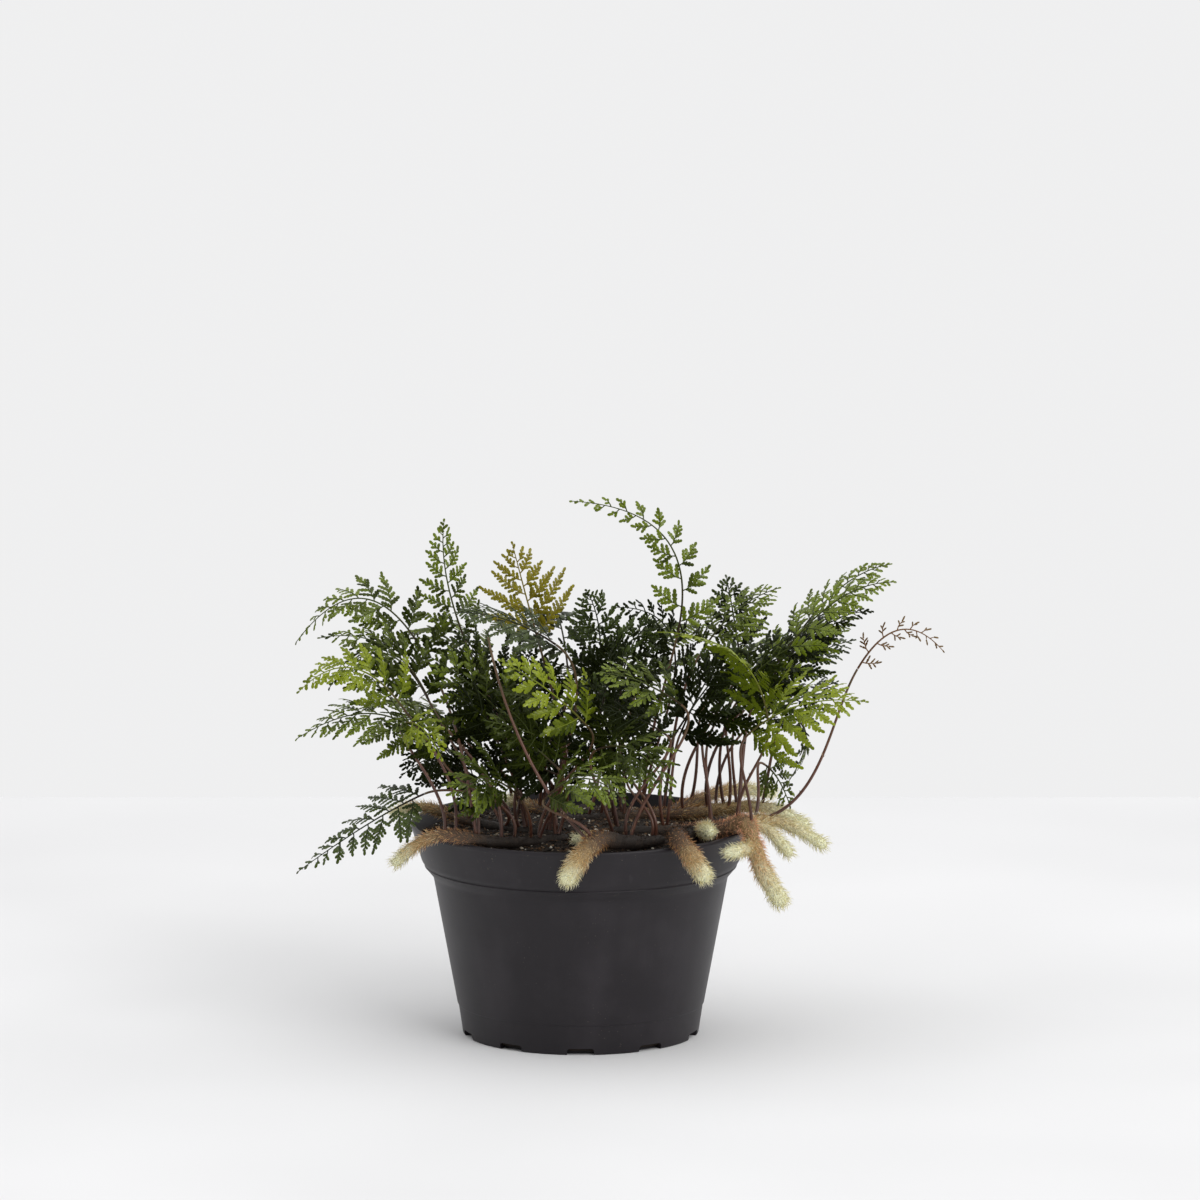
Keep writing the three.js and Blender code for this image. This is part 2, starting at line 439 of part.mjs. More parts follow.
/** One blade: a thin arching rib with a lobed leaflet growing out of its edge at each place. */
function makeBlade(frond) {
  const { length, list } = leaflets(frond);
  const points = [];
  const triangles = [];
  const put = (point) => points.push(point) - 1;
  const ribPoint = (side, at) => {
    const frame = bladeFrame(frond, at);
    const edge = frame.origin.addScaledVector(frame.across, side * RACHIS_HALF_WIDTH);
    return put((lift) => edge.clone().addScaledVector(frame.out, lift));
  };
  const sides = [-1, 1].map((side) => {
    const rib = [{ at: 0, index: ribPoint(side, 0) }];
    list.filter((leaflet) => leaflet.side === side).forEach((leaflet) => {
      const frame = bladeFrame(frond, leaflet.at);
      const [lower, upper] = [-1, 1].map((end) => {
        const at = leaflet.at + (end * LEAFLET_FOOT) / length;
        return { at, index: ribPoint(side, at) };
      });
      rib.push(lower, upper);
      const edge = leafletEdge(leaflet);
      const inner = edge.map(([t, w]) => put((lift) => leafletPoint(frame, leaflet, t, w, lift)));
      const flat = [[0, -LEAFLET_FOOT * 0.8], ...edge, [0, LEAFLET_FOOT * 0.8]]
        .map(([t, w]) => new THREE.Vector2(t * leaflet.reach, w));
      const ring = [lower.index, ...inner, upper.index];
      THREE.ShapeUtils.triangulateShape(flat, []).forEach(([a, b, c]) => {
        triangles.push(side > 0 ? [ring[a], ring[b], ring[c]] : [ring[a], ring[c], ring[b]]);
      });
    });
    return rib;
  });
  const [left, right] = sides;
  const tip = { at: 1, index: put((lift) => {
    const frame = bladeFrame(frond, 1);
    return frame.origin.addScaledVector(frame.out, lift);
  }) };
  left.push(tip);
  right.push(tip);
  for (let i = 0, j = 0; i < left.length - 1 || j < right.length - 1;) {
    const stepLeft = j === right.length - 1
      || (i < left.length - 1 && left[i + 1].at < right[j + 1].at);
    const next = stepLeft ? left[i + 1] : right[j + 1];
    const corner = [left[i].index, right[j].index, next.index];
    if (new Set(corner).size === 3) triangles.push(corner);
    if (stepLeft) i += 1;
    else j += 1;
  }
  return slab(points, triangles);
}

/** The room that a blade claims: a plain convex pad round each leaflet and along the rib. */
function bladeRoom(frond) {
  const { list } = leaflets(frond);
  const lift = LEAF_THICKNESS / 2 + LEAF_CLEARANCE;
  const pads = list.map((leaflet) => {
    const frame = bladeFrame(frond, leaflet.at);
    const far = 1 + LEAF_CLEARANCE / leaflet.reach;
    const points = [];
    [0, 0.15, 0.5, 0.75, far].forEach((t) => {
      const w = Math.max(leafletWidth(leaflet, Math.min(t, 1)), 0.7) + LEAF_CLEARANCE;
      [[w, lift], [w, -lift], [-w, lift], [-w, -lift]].forEach(([across, up]) => {
        points.push(leafletPoint(frame, leaflet, t, across, up));
      });
    });
    return solid(new ConvexGeometry(points));
  });
  const ribs = [-1, 1].flatMap((side) => {
    const stations = [0, ...list.filter((leaflet) => leaflet.side === side).map(({ at }) => at), 1];
    return stations.slice(1).map((end, i) => {
      const points = [stations[i], end].flatMap((at) => {
        const frame = bladeFrame(frond, at);
        const w = RACHIS_HALF_WIDTH + LEAF_CLEARANCE;
        return [[w, lift], [w, -lift], [-w, lift], [-w, -lift]].map(([across, up]) => (
          frame.origin.clone().addScaledVector(frame.across, across).addScaledVector(frame.out, up)
        ));
      });
      return solid(new ConvexGeometry(points));
    });
  });
  return [...pads, ...ribs].reduce((body, piece) => body.add(piece));
}

// ---- assembly -------------------------------------------------------------------------
const group = new THREE.Group();
group.name = 'potted_fern';

function addPiece(name, body, color, roughness) {
  const material = new THREE.MeshStandardMaterial({ color, roughness, metalness: 0 });
  const mesh = new THREE.Mesh(geometryOf(body), material);
  mesh.name = name;
  group.add(mesh);
}

const pot = makePot();
addPiece('pot', pot, 0x2b2a2d, 0.55);

const rhizomeNames = Object.keys(RHIZOMES);
const rhizomeRooms = rhizomeNames.map((name) => makeRhizome(name, GAP));
const soil = rhizomeRooms.reduce((body, room) => body.subtract(room), makeSoil());
addPiece('soil', largest(soil), 0x1d1712, 0.95);

rhizomeNames.forEach((name) => addPiece(name, makeRhizome(name), 0xb89a72, 0.9));

const claimed = [...rhizomeRooms];
Object.entries(FRONDS).forEach(([name, frond]) => {
  const whole = makeBlade(frond);
  const clear = largest(claimed.reduce((body, room) => body.subtract(room), whole));
  claimed.push(bladeRoom(frond));
  addPiece(`frond_${name}`, clear, LEAF_COLOURS[frond.leaf], 0.45);
});

export default group;
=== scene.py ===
import json
import math
import random

import bmesh
import bpy
from mathutils import Matrix, Vector

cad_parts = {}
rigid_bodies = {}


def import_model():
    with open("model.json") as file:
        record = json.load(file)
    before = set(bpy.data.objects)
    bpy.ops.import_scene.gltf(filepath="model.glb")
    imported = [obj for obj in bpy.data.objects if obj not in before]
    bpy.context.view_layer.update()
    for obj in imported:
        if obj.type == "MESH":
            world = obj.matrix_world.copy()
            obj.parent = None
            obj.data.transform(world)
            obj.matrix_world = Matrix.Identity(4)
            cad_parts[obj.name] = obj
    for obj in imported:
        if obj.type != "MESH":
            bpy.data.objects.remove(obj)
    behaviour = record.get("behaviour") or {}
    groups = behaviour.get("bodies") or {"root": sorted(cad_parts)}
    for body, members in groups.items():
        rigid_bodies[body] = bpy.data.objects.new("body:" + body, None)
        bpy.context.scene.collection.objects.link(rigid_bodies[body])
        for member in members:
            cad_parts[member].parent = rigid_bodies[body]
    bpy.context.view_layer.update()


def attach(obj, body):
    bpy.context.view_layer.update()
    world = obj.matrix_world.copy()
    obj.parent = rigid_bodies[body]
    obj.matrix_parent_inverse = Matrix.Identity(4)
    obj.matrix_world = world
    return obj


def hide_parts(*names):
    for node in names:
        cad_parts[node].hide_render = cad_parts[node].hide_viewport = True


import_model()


# ---- Nursery pot --------------------------------------------------------------------
# A squat growing pot of thin black polypropylene, moulded in one piece: a flared band
# under a rolled rim, a bead below the band, a step round the foot and drain notches.
POT_FACETS = 160
RIM_RADIUS, RIM_TOP, RIM_LIP = 0.0825, 0.1037, 0.0017
BAND_FOOT = (0.0776, 0.0864)
BEAD = (0.0756, 0.0834)
BODY_TOP = (0.0717, 0.0779)
FOOT_TOP = (0.0601, 0.0151)
FOOT_STEP = 0.0005
BASE_RADIUS = 0.0574
WALL, BOTTOM = 0.0014, 0.0015
NOTCHES, NOTCH_FIRST = 10, math.radians(234)
NOTCH_WIDTH, NOTCH_HEIGHT, NOTCH_DEPTH, NOTCH_ROUND = 0.013, 0.0032, 0.009, 0.0014
PLASTIC = (0.0095, 0.0070, 0.0098)
PLASTIC_WORN = (0.034, 0.029, 0.034)
PLASTIC_DUST = (0.23, 0.19, 0.15)
PLASTIC_ROUGH, PLASTIC_SHINE, PLASTIC_RELIEF = 0.40, 0.36, 0.00006
# Marks in the plastic: clouds to the metre, and how the drawn-out ones stretch.
MOTTLE, STREAKS, RINGS, SPECKS, DUSTY_SPOTS, SCUFFS, GRAIN = 38, 60, 9, 900, 45, 240, 1500
STREAK_STRETCH, RING_STRETCH, SCUFF_STRETCH = (1, 1, 0.12), (0.4, 0.4, 90), (1, 1, 0.3)
SCUFFED = (0.078, 0.101)  # the heights between which handling marks come in
EASE_SHARE, EASE_STEPS = 0.45, 3  # an ease takes no more than this share of a side
NOTCH_STEPS, POT_SHARP = 4, math.radians(40)


class Field:
    """One socket of a node tree. A sum on it adds the Math node that the sum needs."""

    def __init__(self, tree, socket=None):
        self.tree, self.socket = tree, socket

    def node(self, kind, settings=None, inputs=None, output=0):
        """Adds any node: first its settings, then the values or links of its sockets."""
        made = self.tree.nodes.new(kind)
        for name, value in (settings or {}).items():
            if name == "stops":
                stops = made.color_ramp.elements
                stops.remove(stops[1])
                stops[0].position, stops[0].color = value[0][0], (*value[0][1], 1)
                for place, colour in value[1:]:
                    stops.new(place).color = (*colour, 1)
            else:
                setattr(made, name, value)
        for name, value in (inputs or {}).items():
            for one in value if isinstance(value, list) else [value]:
                if isinstance(one, Field):
                    self.tree.links.new(one.socket, made.inputs[name])
                else:
                    made.inputs[name].default_value = one
        return Field(self.tree, made.outputs[output] if len(made.outputs) else None)

    def math(self, operation, *values):
        return self.node("ShaderNodeMath", {"operation": operation}, dict(enumerate(values)))

    def vector(self, operation, *values, output=0):
        kind, sockets = {"operation": operation}, dict(enumerate(values))
        return self.node("ShaderNodeVectorMath", kind, sockets, output)

    def __add__(self, other):
        return self.math("ADD", self, other)

    def __sub__(self, other):
        return self.math("SUBTRACT", self, other)

    def __rsub__(self, other):
        return self.math("SUBTRACT", other, self)

    def __mul__(self, other):
        return self.math("MULTIPLY", self, other)

    def __pow__(self, other):
        return self.math("POWER", self, other)

    def __abs__(self):
        return self.math("ABSOLUTE", self)

    def __mod__(self, other):
        return self.math("FLOORED_MODULO", self, other)

    __radd__, __rmul__ = __add__, __mul__

    def over(self, limit):
        """1 where this is more than limit, and 0 elsewhere."""
        return self.math("GREATER_THAN", self, limit)

    def ramp(self, low, high):
        """0 below low, 1 above high, and smooth between them; low may be the greater."""
        if low > high:
            return 1 - self.ramp(high, low)
        ends = {"Value": self, "From Min": low, "From Max": high}
        return self.node("ShaderNodeMapRange", {"interpolation_type": "SMOOTHSTEP"}, ends)

    def tint(self, under, over):
        """The colour under where this is 0, and over where it is 1."""
        sockets = {0: self, 6: paint(under), 7: paint(over)}
        return self.node("ShaderNodeMix", {"data_type": "RGBA"}, sockets, 2)

    def stops(self, tones):
        """The colour at this share of the way through tones, which are places and colours."""
        return self.node("ShaderNodeValToRGB", {"stops": tones}, {"Fac": self})

    def noise(self, scale, detail=2.0, stretch=(1, 1, 1)):
        """Clouded values from 0 to 1, about scale clouds to the metre, read at this place."""
        place = self.vector("MULTIPLY", self, stretch)
        sockets = {"Vector": place, "Scale": scale, "Detail": detail}
        return self.node("ShaderNodeTexNoise", None, sockets)

    def axis(self, name):
        return self.node("ShaderNodeSeparateXYZ", None, {0: self}, name)

    def named(self, name):
        """A number that the mesh keeps under this name."""
        return self.node("ShaderNodeAttribute", {"attribute_name": name}, None, "Fac")


def paint(colour):
    """A colour with its alpha, or the socket that gives it."""
    return colour if isinstance(colour, Field) else (*colour, 1)


def new_material(name):
    """An empty material, and the place on the object that its patterns read."""
    material = bpy.data.materials.new(name)
    material.use_nodes = True
    material.node_tree.nodes.clear()
    field = Field(material.node_tree)
    return material, field.node("ShaderNodeTexCoord", None, None, "Object")


def relief(height, distance):
    """A Normal from a height that goes from 0 to 1 over distance."""
    return height.node("ShaderNodeBump", None, {"Height": height, "Distance": distance})


def surface(place, inputs):
    """A Principled shader."""
    return place.node("ShaderNodeBsdfPrincipled", None, inputs)


def glowing(shader, colour, share):
    """The shader with this share of it given to light that comes through in this colour."""
    through = shader.node("ShaderNodeBsdfTranslucent", None, {"Color": paint(colour)})
    return shader.node("ShaderNodeMixShader", None, {0: share, 1: shader, 2: through})


def finish(material, shader):
    shader.node("ShaderNodeOutputMaterial", None, {"Surface": shader})
    return material


def eased(profile):
    """A profile of (radius, height, ease) corners, each rounded by its ease."""
    line = []
    for i, (radius, height, ease) in enumerate(profile):
        corner = Vector((radius, height))
        if not ease:
            line.append(corner)
            continue
        before, after = (Vector(profile[j][:2]) - corner for j in (i - 1, i + 1))
        start, end = (
            corner + side.normalized() * min(ease, side.length * EASE_SHARE)
            for side in (before, after)
        )
        for k in range(EASE_STEPS + 1):
            t = k / EASE_STEPS
            line.append(start * (1 - t) ** 2 + corner * 2 * t * (1 - t) + end * t * t)
    return line


def new_object(name, vertices, faces, material=None, smooth=True, edges=()):
    """A mesh object at the origin."""
    mesh = bpy.data.meshes.new(name)
    mesh.from_pydata(vertices, edges, faces)
    mesh.polygons.foreach_set("use_smooth", [smooth] * len(mesh.polygons))
    if material:
        mesh.materials.append(material)
    made = bpy.data.objects.new(name, mesh)
    bpy.context.scene.collection.objects.link(made)
    return made


def turned(name, line, facets):
    """A closed body turned about +Z from a line that starts and ends on the axis."""
    vertices, rings = [], []
    for point in line:
        around = facets if point.x > 0 else 1
        rings.append([len(vertices) + k for k in range(around)])
        for k in range(around):
            a = math.tau * k / facets
            vertices.append((point.x * math.cos(a), point.x * math.sin(a), point.y))
    faces = []
    for low, high in zip(rings, rings[1:]):
        for k in range(facets):
            m = (k + 1) % facets
            corners = (low, k), (low, m), (high, m), (high, k)
            faces.append(list(dict.fromkeys(ring[j % len(ring)] for ring, j in corners)))
    return new_object(name, vertices, faces)


def settled(scene_object):
    """Turns the object, with its modifiers, into a plain mesh without them."""
    evaluated = scene_object.evaluated_get(bpy.context.evaluated_depsgraph_get())
    mesh = bpy.data.meshes.new_from_object(evaluated)
    scene_object.modifiers.clear()
    old = scene_object.data
    scene_object.data = mesh
    mesh.name = scene_object.name
    if isinstance(old, bpy.types.Mesh):
        bpy.data.meshes.remove(old)
    return scene_object


def place_piece(piece, slot, *nodes):
    """Fixes a finished piece to the one body, in the place of the CAD nodes it stands for."""
    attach(piece, "root")
    if nodes:
        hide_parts(*nodes)


def pot_plastic():
    material, place = new_material("pot_plastic")
    mottle = place.noise(MOTTLE, 4)
    streaks = place.noise(STREAKS, 3, STREAK_STRETCH)
    rings = place.noise(RINGS, 3, RING_STRETCH)
    specks = place.noise(SPECKS, 1).ramp(0.70, 0.76)
    specks = specks * place.noise(DUSTY_SPOTS, 2).ramp(0.46, 0.66)
    near_rim = place.axis("Z").ramp(*SCUFFED)
    scuffs = place.noise(SCUFFS, 5, SCUFF_STRETCH).ramp(0.63, 0.70) * near_rim
    dust = specks * (near_rim * 0.75 + 0.15)
    worn = (mottle * 0.5 + streaks * 0.35).ramp(0.36, 0.62) * 0.45 + scuffs * 0.5
    grain = place.noise(GRAIN, 2) * 0.35 + rings * 0.65
    return finish(material, surface(place, {
        "Base Color": dust.tint(worn.tint(PLASTIC, PLASTIC_WORN), PLASTIC_DUST),
        "Roughness": mottle * 0.16 + dust * 0.3 + PLASTIC_ROUGH,
        "Specular IOR Level": PLASTIC_SHINE,
        "Normal": relief(grain, PLASTIC_RELIEF),
    }))


# Half of the pot's section, from the middle of the base up the outside and down the inside:
# the radius, height and ease of each corner.
pot = turned("nursery_pot", eased([
    (0, 0, 0),
    (BASE_RADIUS, 0, 0.0009),
    (FOOT_TOP[0] - FOOT_STEP, FOOT_TOP[1] - FOOT_STEP, 0.0002),
    (FOOT_TOP[0], FOOT_TOP[1], 0.0003),
    (*BODY_TOP, 0.0012),
    (BEAD[0] - 0.0014, BEAD[1] - 0.0026, 0.0010),
    (BEAD[0] - 0.0001, BEAD[1] - 0.0008, 0.0002),
    (BEAD[0] + 0.0004, BEAD[1] - 0.0006, 0.0002),
    (BEAD[0] + 0.0004, BEAD[1] - 0.0001, 0.0002),
    (BEAD[0] + 0.0001, BEAD[1] + 0.0001, 0.0001),
    (BAND_FOOT[0] - 0.0003, BAND_FOOT[1] - 0.0008, 0.0012),
    (BAND_FOOT[0] + 0.0002, BAND_FOOT[1] + 0.0010, 0.0010),
    (RIM_RADIUS - 0.0004, RIM_TOP - 0.0024, 0.0006),
    (RIM_RADIUS, RIM_TOP - 0.0016, 0.0006),
    (RIM_RADIUS, RIM_TOP, 0.0008),
    (RIM_RADIUS - RIM_LIP, RIM_TOP, 0.0006),
    (BAND_FOOT[0] - WALL, BAND_FOOT[1], 0.002),
    (BODY_TOP[0] - WALL, BODY_TOP[1], 0.003),
    (BASE_RADIUS - WALL, BOTTOM, 0.001),
    (0, BOTTOM, 0),
]), POT_FACETS)


def notch_cutter():
    """One body that fills all the drain notches: blocks with rounded upper corners."""
    vertices, faces = [], []
    half = NOTCH_WIDTH / 2
    outline = [(-half, -NOTCH_HEIGHT), (half, -NOTCH_HEIGHT)]
    for side in (1, -1):
        for k in range(NOTCH_STEPS + 1):
            share = k / NOTCH_STEPS
            a = math.radians(90 * (share if side > 0 else 1 - share))
            outline.append((
                side * (half - NOTCH_ROUND + NOTCH_ROUND * math.cos(a)),
                NOTCH_HEIGHT - NOTCH_ROUND + NOTCH_ROUND * math.sin(a),
            ))
    for i in range(NOTCHES):
        turn = Matrix.Rotation(NOTCH_FIRST + math.tau * i / NOTCHES, 3, "Z")
        first, count = len(vertices), len(outline)
        for radius in (BASE_RADIUS - NOTCH_DEPTH / 2, BASE_RADIUS + NOTCH_DEPTH / 2):
            vertices += [turn @ Vector((radius, y, z)) for y, z in outline]
        faces.append([first + k for k in reversed(range(count))])
        faces.append([first + count + k for k in range(count)])
        for k in range(count):
            m = (k + 1) % count
            faces.append([first + k, first + m, first + count + m, first + count + k])
    return new_object("notch_cutter", vertices, faces)


cutter = notch_cutter()
cut = pot.modifiers.new("notches", "BOOLEAN")
cut.operation, cut.solver, cut.object = "DIFFERENCE", "EXACT", cutter
settled(pot)
bpy.data.objects.remove(cutter)
pot.data.materials.clear()
pot.data.materials.append(pot_plastic())
pot.data.set_sharp_from_angle(angle=POT_SHARP)
place_piece(pot, "pot", "pot")


# ---- Potting mix --------------------------------------------------------------------
# Bark chips, peat crumbs and a few pale perlite grains, filled in loosely to just below
# the rim and sunk a little at the wall. The crumbs lie on a low mound of the same mix.
MIX_UNDER = [(0, 0.0018), (0.030, 0.0018), (0.0557, 0.0018), (0.0697, 0.0779)]
MIX_EDGE = (0.0784, 0.0968)
MIX_MOUND = [(0.074, 0.0975), (0.066, 0.0992), (0.050, 0.1008), (0.030, 0.1015),
             (0.012, 0.1020), (0, 0.1021)]
MIX_STEPS, MIX_FACETS = 4, 96
LUMPS, LUMP_HEIGHT, UPWARD = 170, 0.0045, 0.6  # lumps to the metre, on faces that look up
MIX_ROOM = 0.0762  # no crumb lies farther out
CRUMBS_PER_M2, CRUMB_SIZE = 330000, (0.0006, 0.0021)
CRUMB_TURNS = ((-0.7, -0.7, 0), (0.7, 0.7, 6.28))
CRUMB_CROWD = 2.2  # the higher it is, the more of them are small
CRUMB_DENTS = (0.75, 1.2)
CRUMB_SHAPES = {"chip": (1, 0.55, 0.22), "crumb": (0.7, 0.6, 0.5), "flake": (0.9, 0.7, 0.16),
                "grain": (0.55, 0.5, 0.42)}
MIX_CLOUDS, MIX_GRAIN, MIX_RELIEF = 260, 2600, 0.0004
MIX_DARK, MIX_BROWN = (0.008, 0.0055, 0.0035), (0.030, 0.018, 0.010)
MIX_TONES = [
    (0.00, (0.006, 0.004, 0.003)),
    (0.35, (0.020, 0.012, 0.008)),
    (0.66, (0.055, 0.030, 0.016)),
    (0.84, (0.16, 0.085, 0.040)),
    (0.93, (0.30, 0.21, 0.12)),
    (0.975, (0.72, 0.68, 0.58)),
]


def new_tree(name, inputs):
    """A Geometry Nodes tree with named inputs: a Field on it, and its inputs."""
    tree = bpy.data.node_groups.new(name, "GeometryNodeTree")
    tree.interface.new_socket("Geometry", in_out="INPUT", socket_type="NodeSocketGeometry")
    tree.interface.new_socket("Geometry", in_out="OUTPUT", socket_type="NodeSocketGeometry")
    for label, kind in inputs.items():
        tree.interface.new_socket(label, in_out="INPUT", socket_type="NodeSocket" + kind)
    start = tree.nodes.new("NodeGroupInput")
    given = {socket.name: Field(tree, socket) for socket in start.outputs if socket.name}
    return Field(tree), given


def close_tree(nodes, *parts):
    """Ends the tree with its parts, each of them a shape and its material."""
    made = []
    for shape, material in parts:
        real = nodes.node("GeometryNodeRealizeInstances", None, {"Geometry": shape})
        sockets = {"Geometry": real, "Material": material}
        made.append(nodes.node("GeometryNodeSetMaterial", None, sockets))
    joined = nodes.node("GeometryNodeJoinGeometry", None, {"Geometry": made})
    nodes.node("NodeGroupOutput", None, {"Geometry": joined})
    return nodes.tree


def grown(scene_object, tree, values):
    """Runs a tree on an object with these input values and keeps the plain mesh."""
    modifier = scene_object.modifiers.new(tree.name, "NODES")
    modifier.node_group = tree
    for item in tree.interface.items_tree:
        if item.in_out == "INPUT" and item.name in values:
            modifier[item.identifier] = values[item.name]
    return settled(scene_object)


def random_value(nodes, low, high, seed):
    """A random number for each element, from low to high."""
    return nodes.node("FunctionNodeRandomValue", None, {2: low, 3: high, "Seed": seed}, 1)


def random_vector(nodes, low, high, seed):
    kind = {"data_type": "FLOAT_VECTOR"}
    return nodes.node("FunctionNodeRandomValue", kind, {0: low, 1: high, "Seed": seed}, 0)


def templates(nodes, collection):
    """The shapes of a collection, to be picked from by number."""
    return nodes.node("GeometryNodeCollectionInfo", None, {
        "Collection": collection, "Separate Children": True, "Reset Children": True,
    })


def toned(nodes, instances, value):
    """Keeps a number on each instance as its tone, for the material to read."""
    kind = {"data_type": "FLOAT", "domain": "INSTANCE"}
    sockets = {"Geometry": instances, "Name": "tone", "Value": value}
    return nodes.node("GeometryNodeStoreNamedAttribute", kind, sockets)


def crumb_tree():
    nodes, given = new_tree("loose_mix", {
        "Crumbs": "Collection", "Density": "Float", "Smallest": "Float", "Largest": "Float",
        "Room": "Float", "Lump Height": "Float", "Seed": "Int", "Material": "Material",
    })
    here = nodes.node("GeometryNodeInputPosition")
    upward = nodes.node("GeometryNodeInputNormal").axis("Z").over(UPWARD)
    lumps = (here.noise(LUMPS, 3) - 0.5) * given["Lump Height"]
    mound = nodes.node("GeometryNodeSetPosition", None, {
        "Geometry": given["Geometry"], "Selection": upward,
        "Offset": nodes.node("ShaderNodeCombineXYZ", None, {"Z": lumps}),
    })
    radius = nodes.vector("LENGTH", nodes.vector("MULTIPLY", here, (1, 1, 0)), output="Value")
    inside = upward * (given["Room"] - radius).over(0)
    points = nodes.node("GeometryNodeDistributePointsOnFaces", None, {
        "Mesh": mound, "Selection": inside, "Density": given["Density"], "Seed": given["Seed"],
    })
    size = random_value(nodes, 0.0, 1.0, 3) ** CRUMB_CROWD
    crumbs = nodes.node("GeometryNodeInstanceOnPoints", None, {
        "Points": points, "Instance": templates(nodes, given["Crumbs"]), "Pick Instance": True,
        "Rotation": random_vector(nodes, *CRUMB_TURNS, 5),
        "Scale": given["Smallest"] + size * (given["Largest"] - given["Smallest"]),
    })
    crumbs = toned(nodes, crumbs, random_value(nodes, 0.0, 1.0, 8))
    return close_tree(nodes, (mound, given["Material"]), (crumbs, given["Material"]))


def crumb_shapes():
    """Four rough shapes: two flat bark chips, a peat crumb and a rounder grain."""
    draw = random.Random(11)
    shapes = bpy.data.collections.new("crumb_shapes")
    bpy.context.scene.collection.children.link(shapes)
    for name, size in CRUMB_SHAPES.items():
        body = bmesh.new()
        bmesh.ops.create_icosphere(body, subdivisions=1, radius=1)
        for vertex in body.verts:
            place = vertex.co * draw.uniform(*CRUMB_DENTS)
            vertex.co = Vector(a * b for a, b in zip(place, size))
        mesh = bpy.data.meshes.new(name)
        body.to_mesh(mesh)
        body.free()
        shapes.objects.link(bpy.data.objects.new(name, mesh))
    return shapes


def drop(collection):
    """Removes the template shapes once they have been copied."""
    for template in list(collection.objects):
        bpy.data.objects.remove(template)
    bpy.data.collections.remove(collection)


def coated(place, colour, pattern, rough, rougher, shine=0.5, depth=0.0):
    """A surface in which roughness and relief follow one pattern."""
    inputs = {"Base Color": colour, "Roughness": pattern * rougher + rough,
              "Specular IOR Level": shine}
    if depth:
        inputs["Normal"] = relief(pattern, depth)
    return surface(place, inputs)


def potting_mix():
    material, place = new_material("potting_mix")
    tone = place.named("tone")  # 0 on the mound itself
    fine = place.noise(MIX_GRAIN, 4)
    ground = place.noise(MIX_CLOUDS, 3).ramp(0.35, 0.7).tint(MIX_DARK, MIX_BROWN)
    colour = tone.ramp(0.001, 0.002).tint(ground, tone.stops(MIX_TONES))
    colour = (fine.ramp(0.3, 0.7) * 0.5).tint(colour, MIX_DARK)
    return finish(material, coated(place, colour, fine, 0.72, 0.25, 0.3, MIX_RELIEF))


mound_line = [Vector(corner) for corner in (*MIX_UNDER, MIX_EDGE)]
tops = [Vector(corner) for corner in (MIX_EDGE, *MIX_MOUND)]
for outer, inner in zip(tops, tops[1:]):
    mound_line += [outer.lerp(inner, k / MIX_STEPS) for k in range(1, MIX_STEPS + 1)]
soil = turned("potting_mix", mound_line, MIX_FACETS)
shapes = crumb_shapes()
grown(soil, crumb_tree(), {
    "Crumbs": shapes, "Density": CRUMBS_PER_M2, "Smallest": CRUMB_SIZE[0],
    "Largest": CRUMB_SIZE[1], "Room": MIX_ROOM, "Lump Height": LUMP_HEIGHT, "Seed": 4,
    "Material": potting_mix(),
})
drop(shapes)
place_piece(soil, "soil", "soil")


# ---- Rhizomes -----------------------------------------------------------------------
# Creeping stems as thick as a pencil or a finger, branching over the mix and hanging
# over the rim. The living skin is packed with hair-fine scales: red-brown to tan where
# it is old, and cream over yellow-green at the growing tips.
MM = 0.001
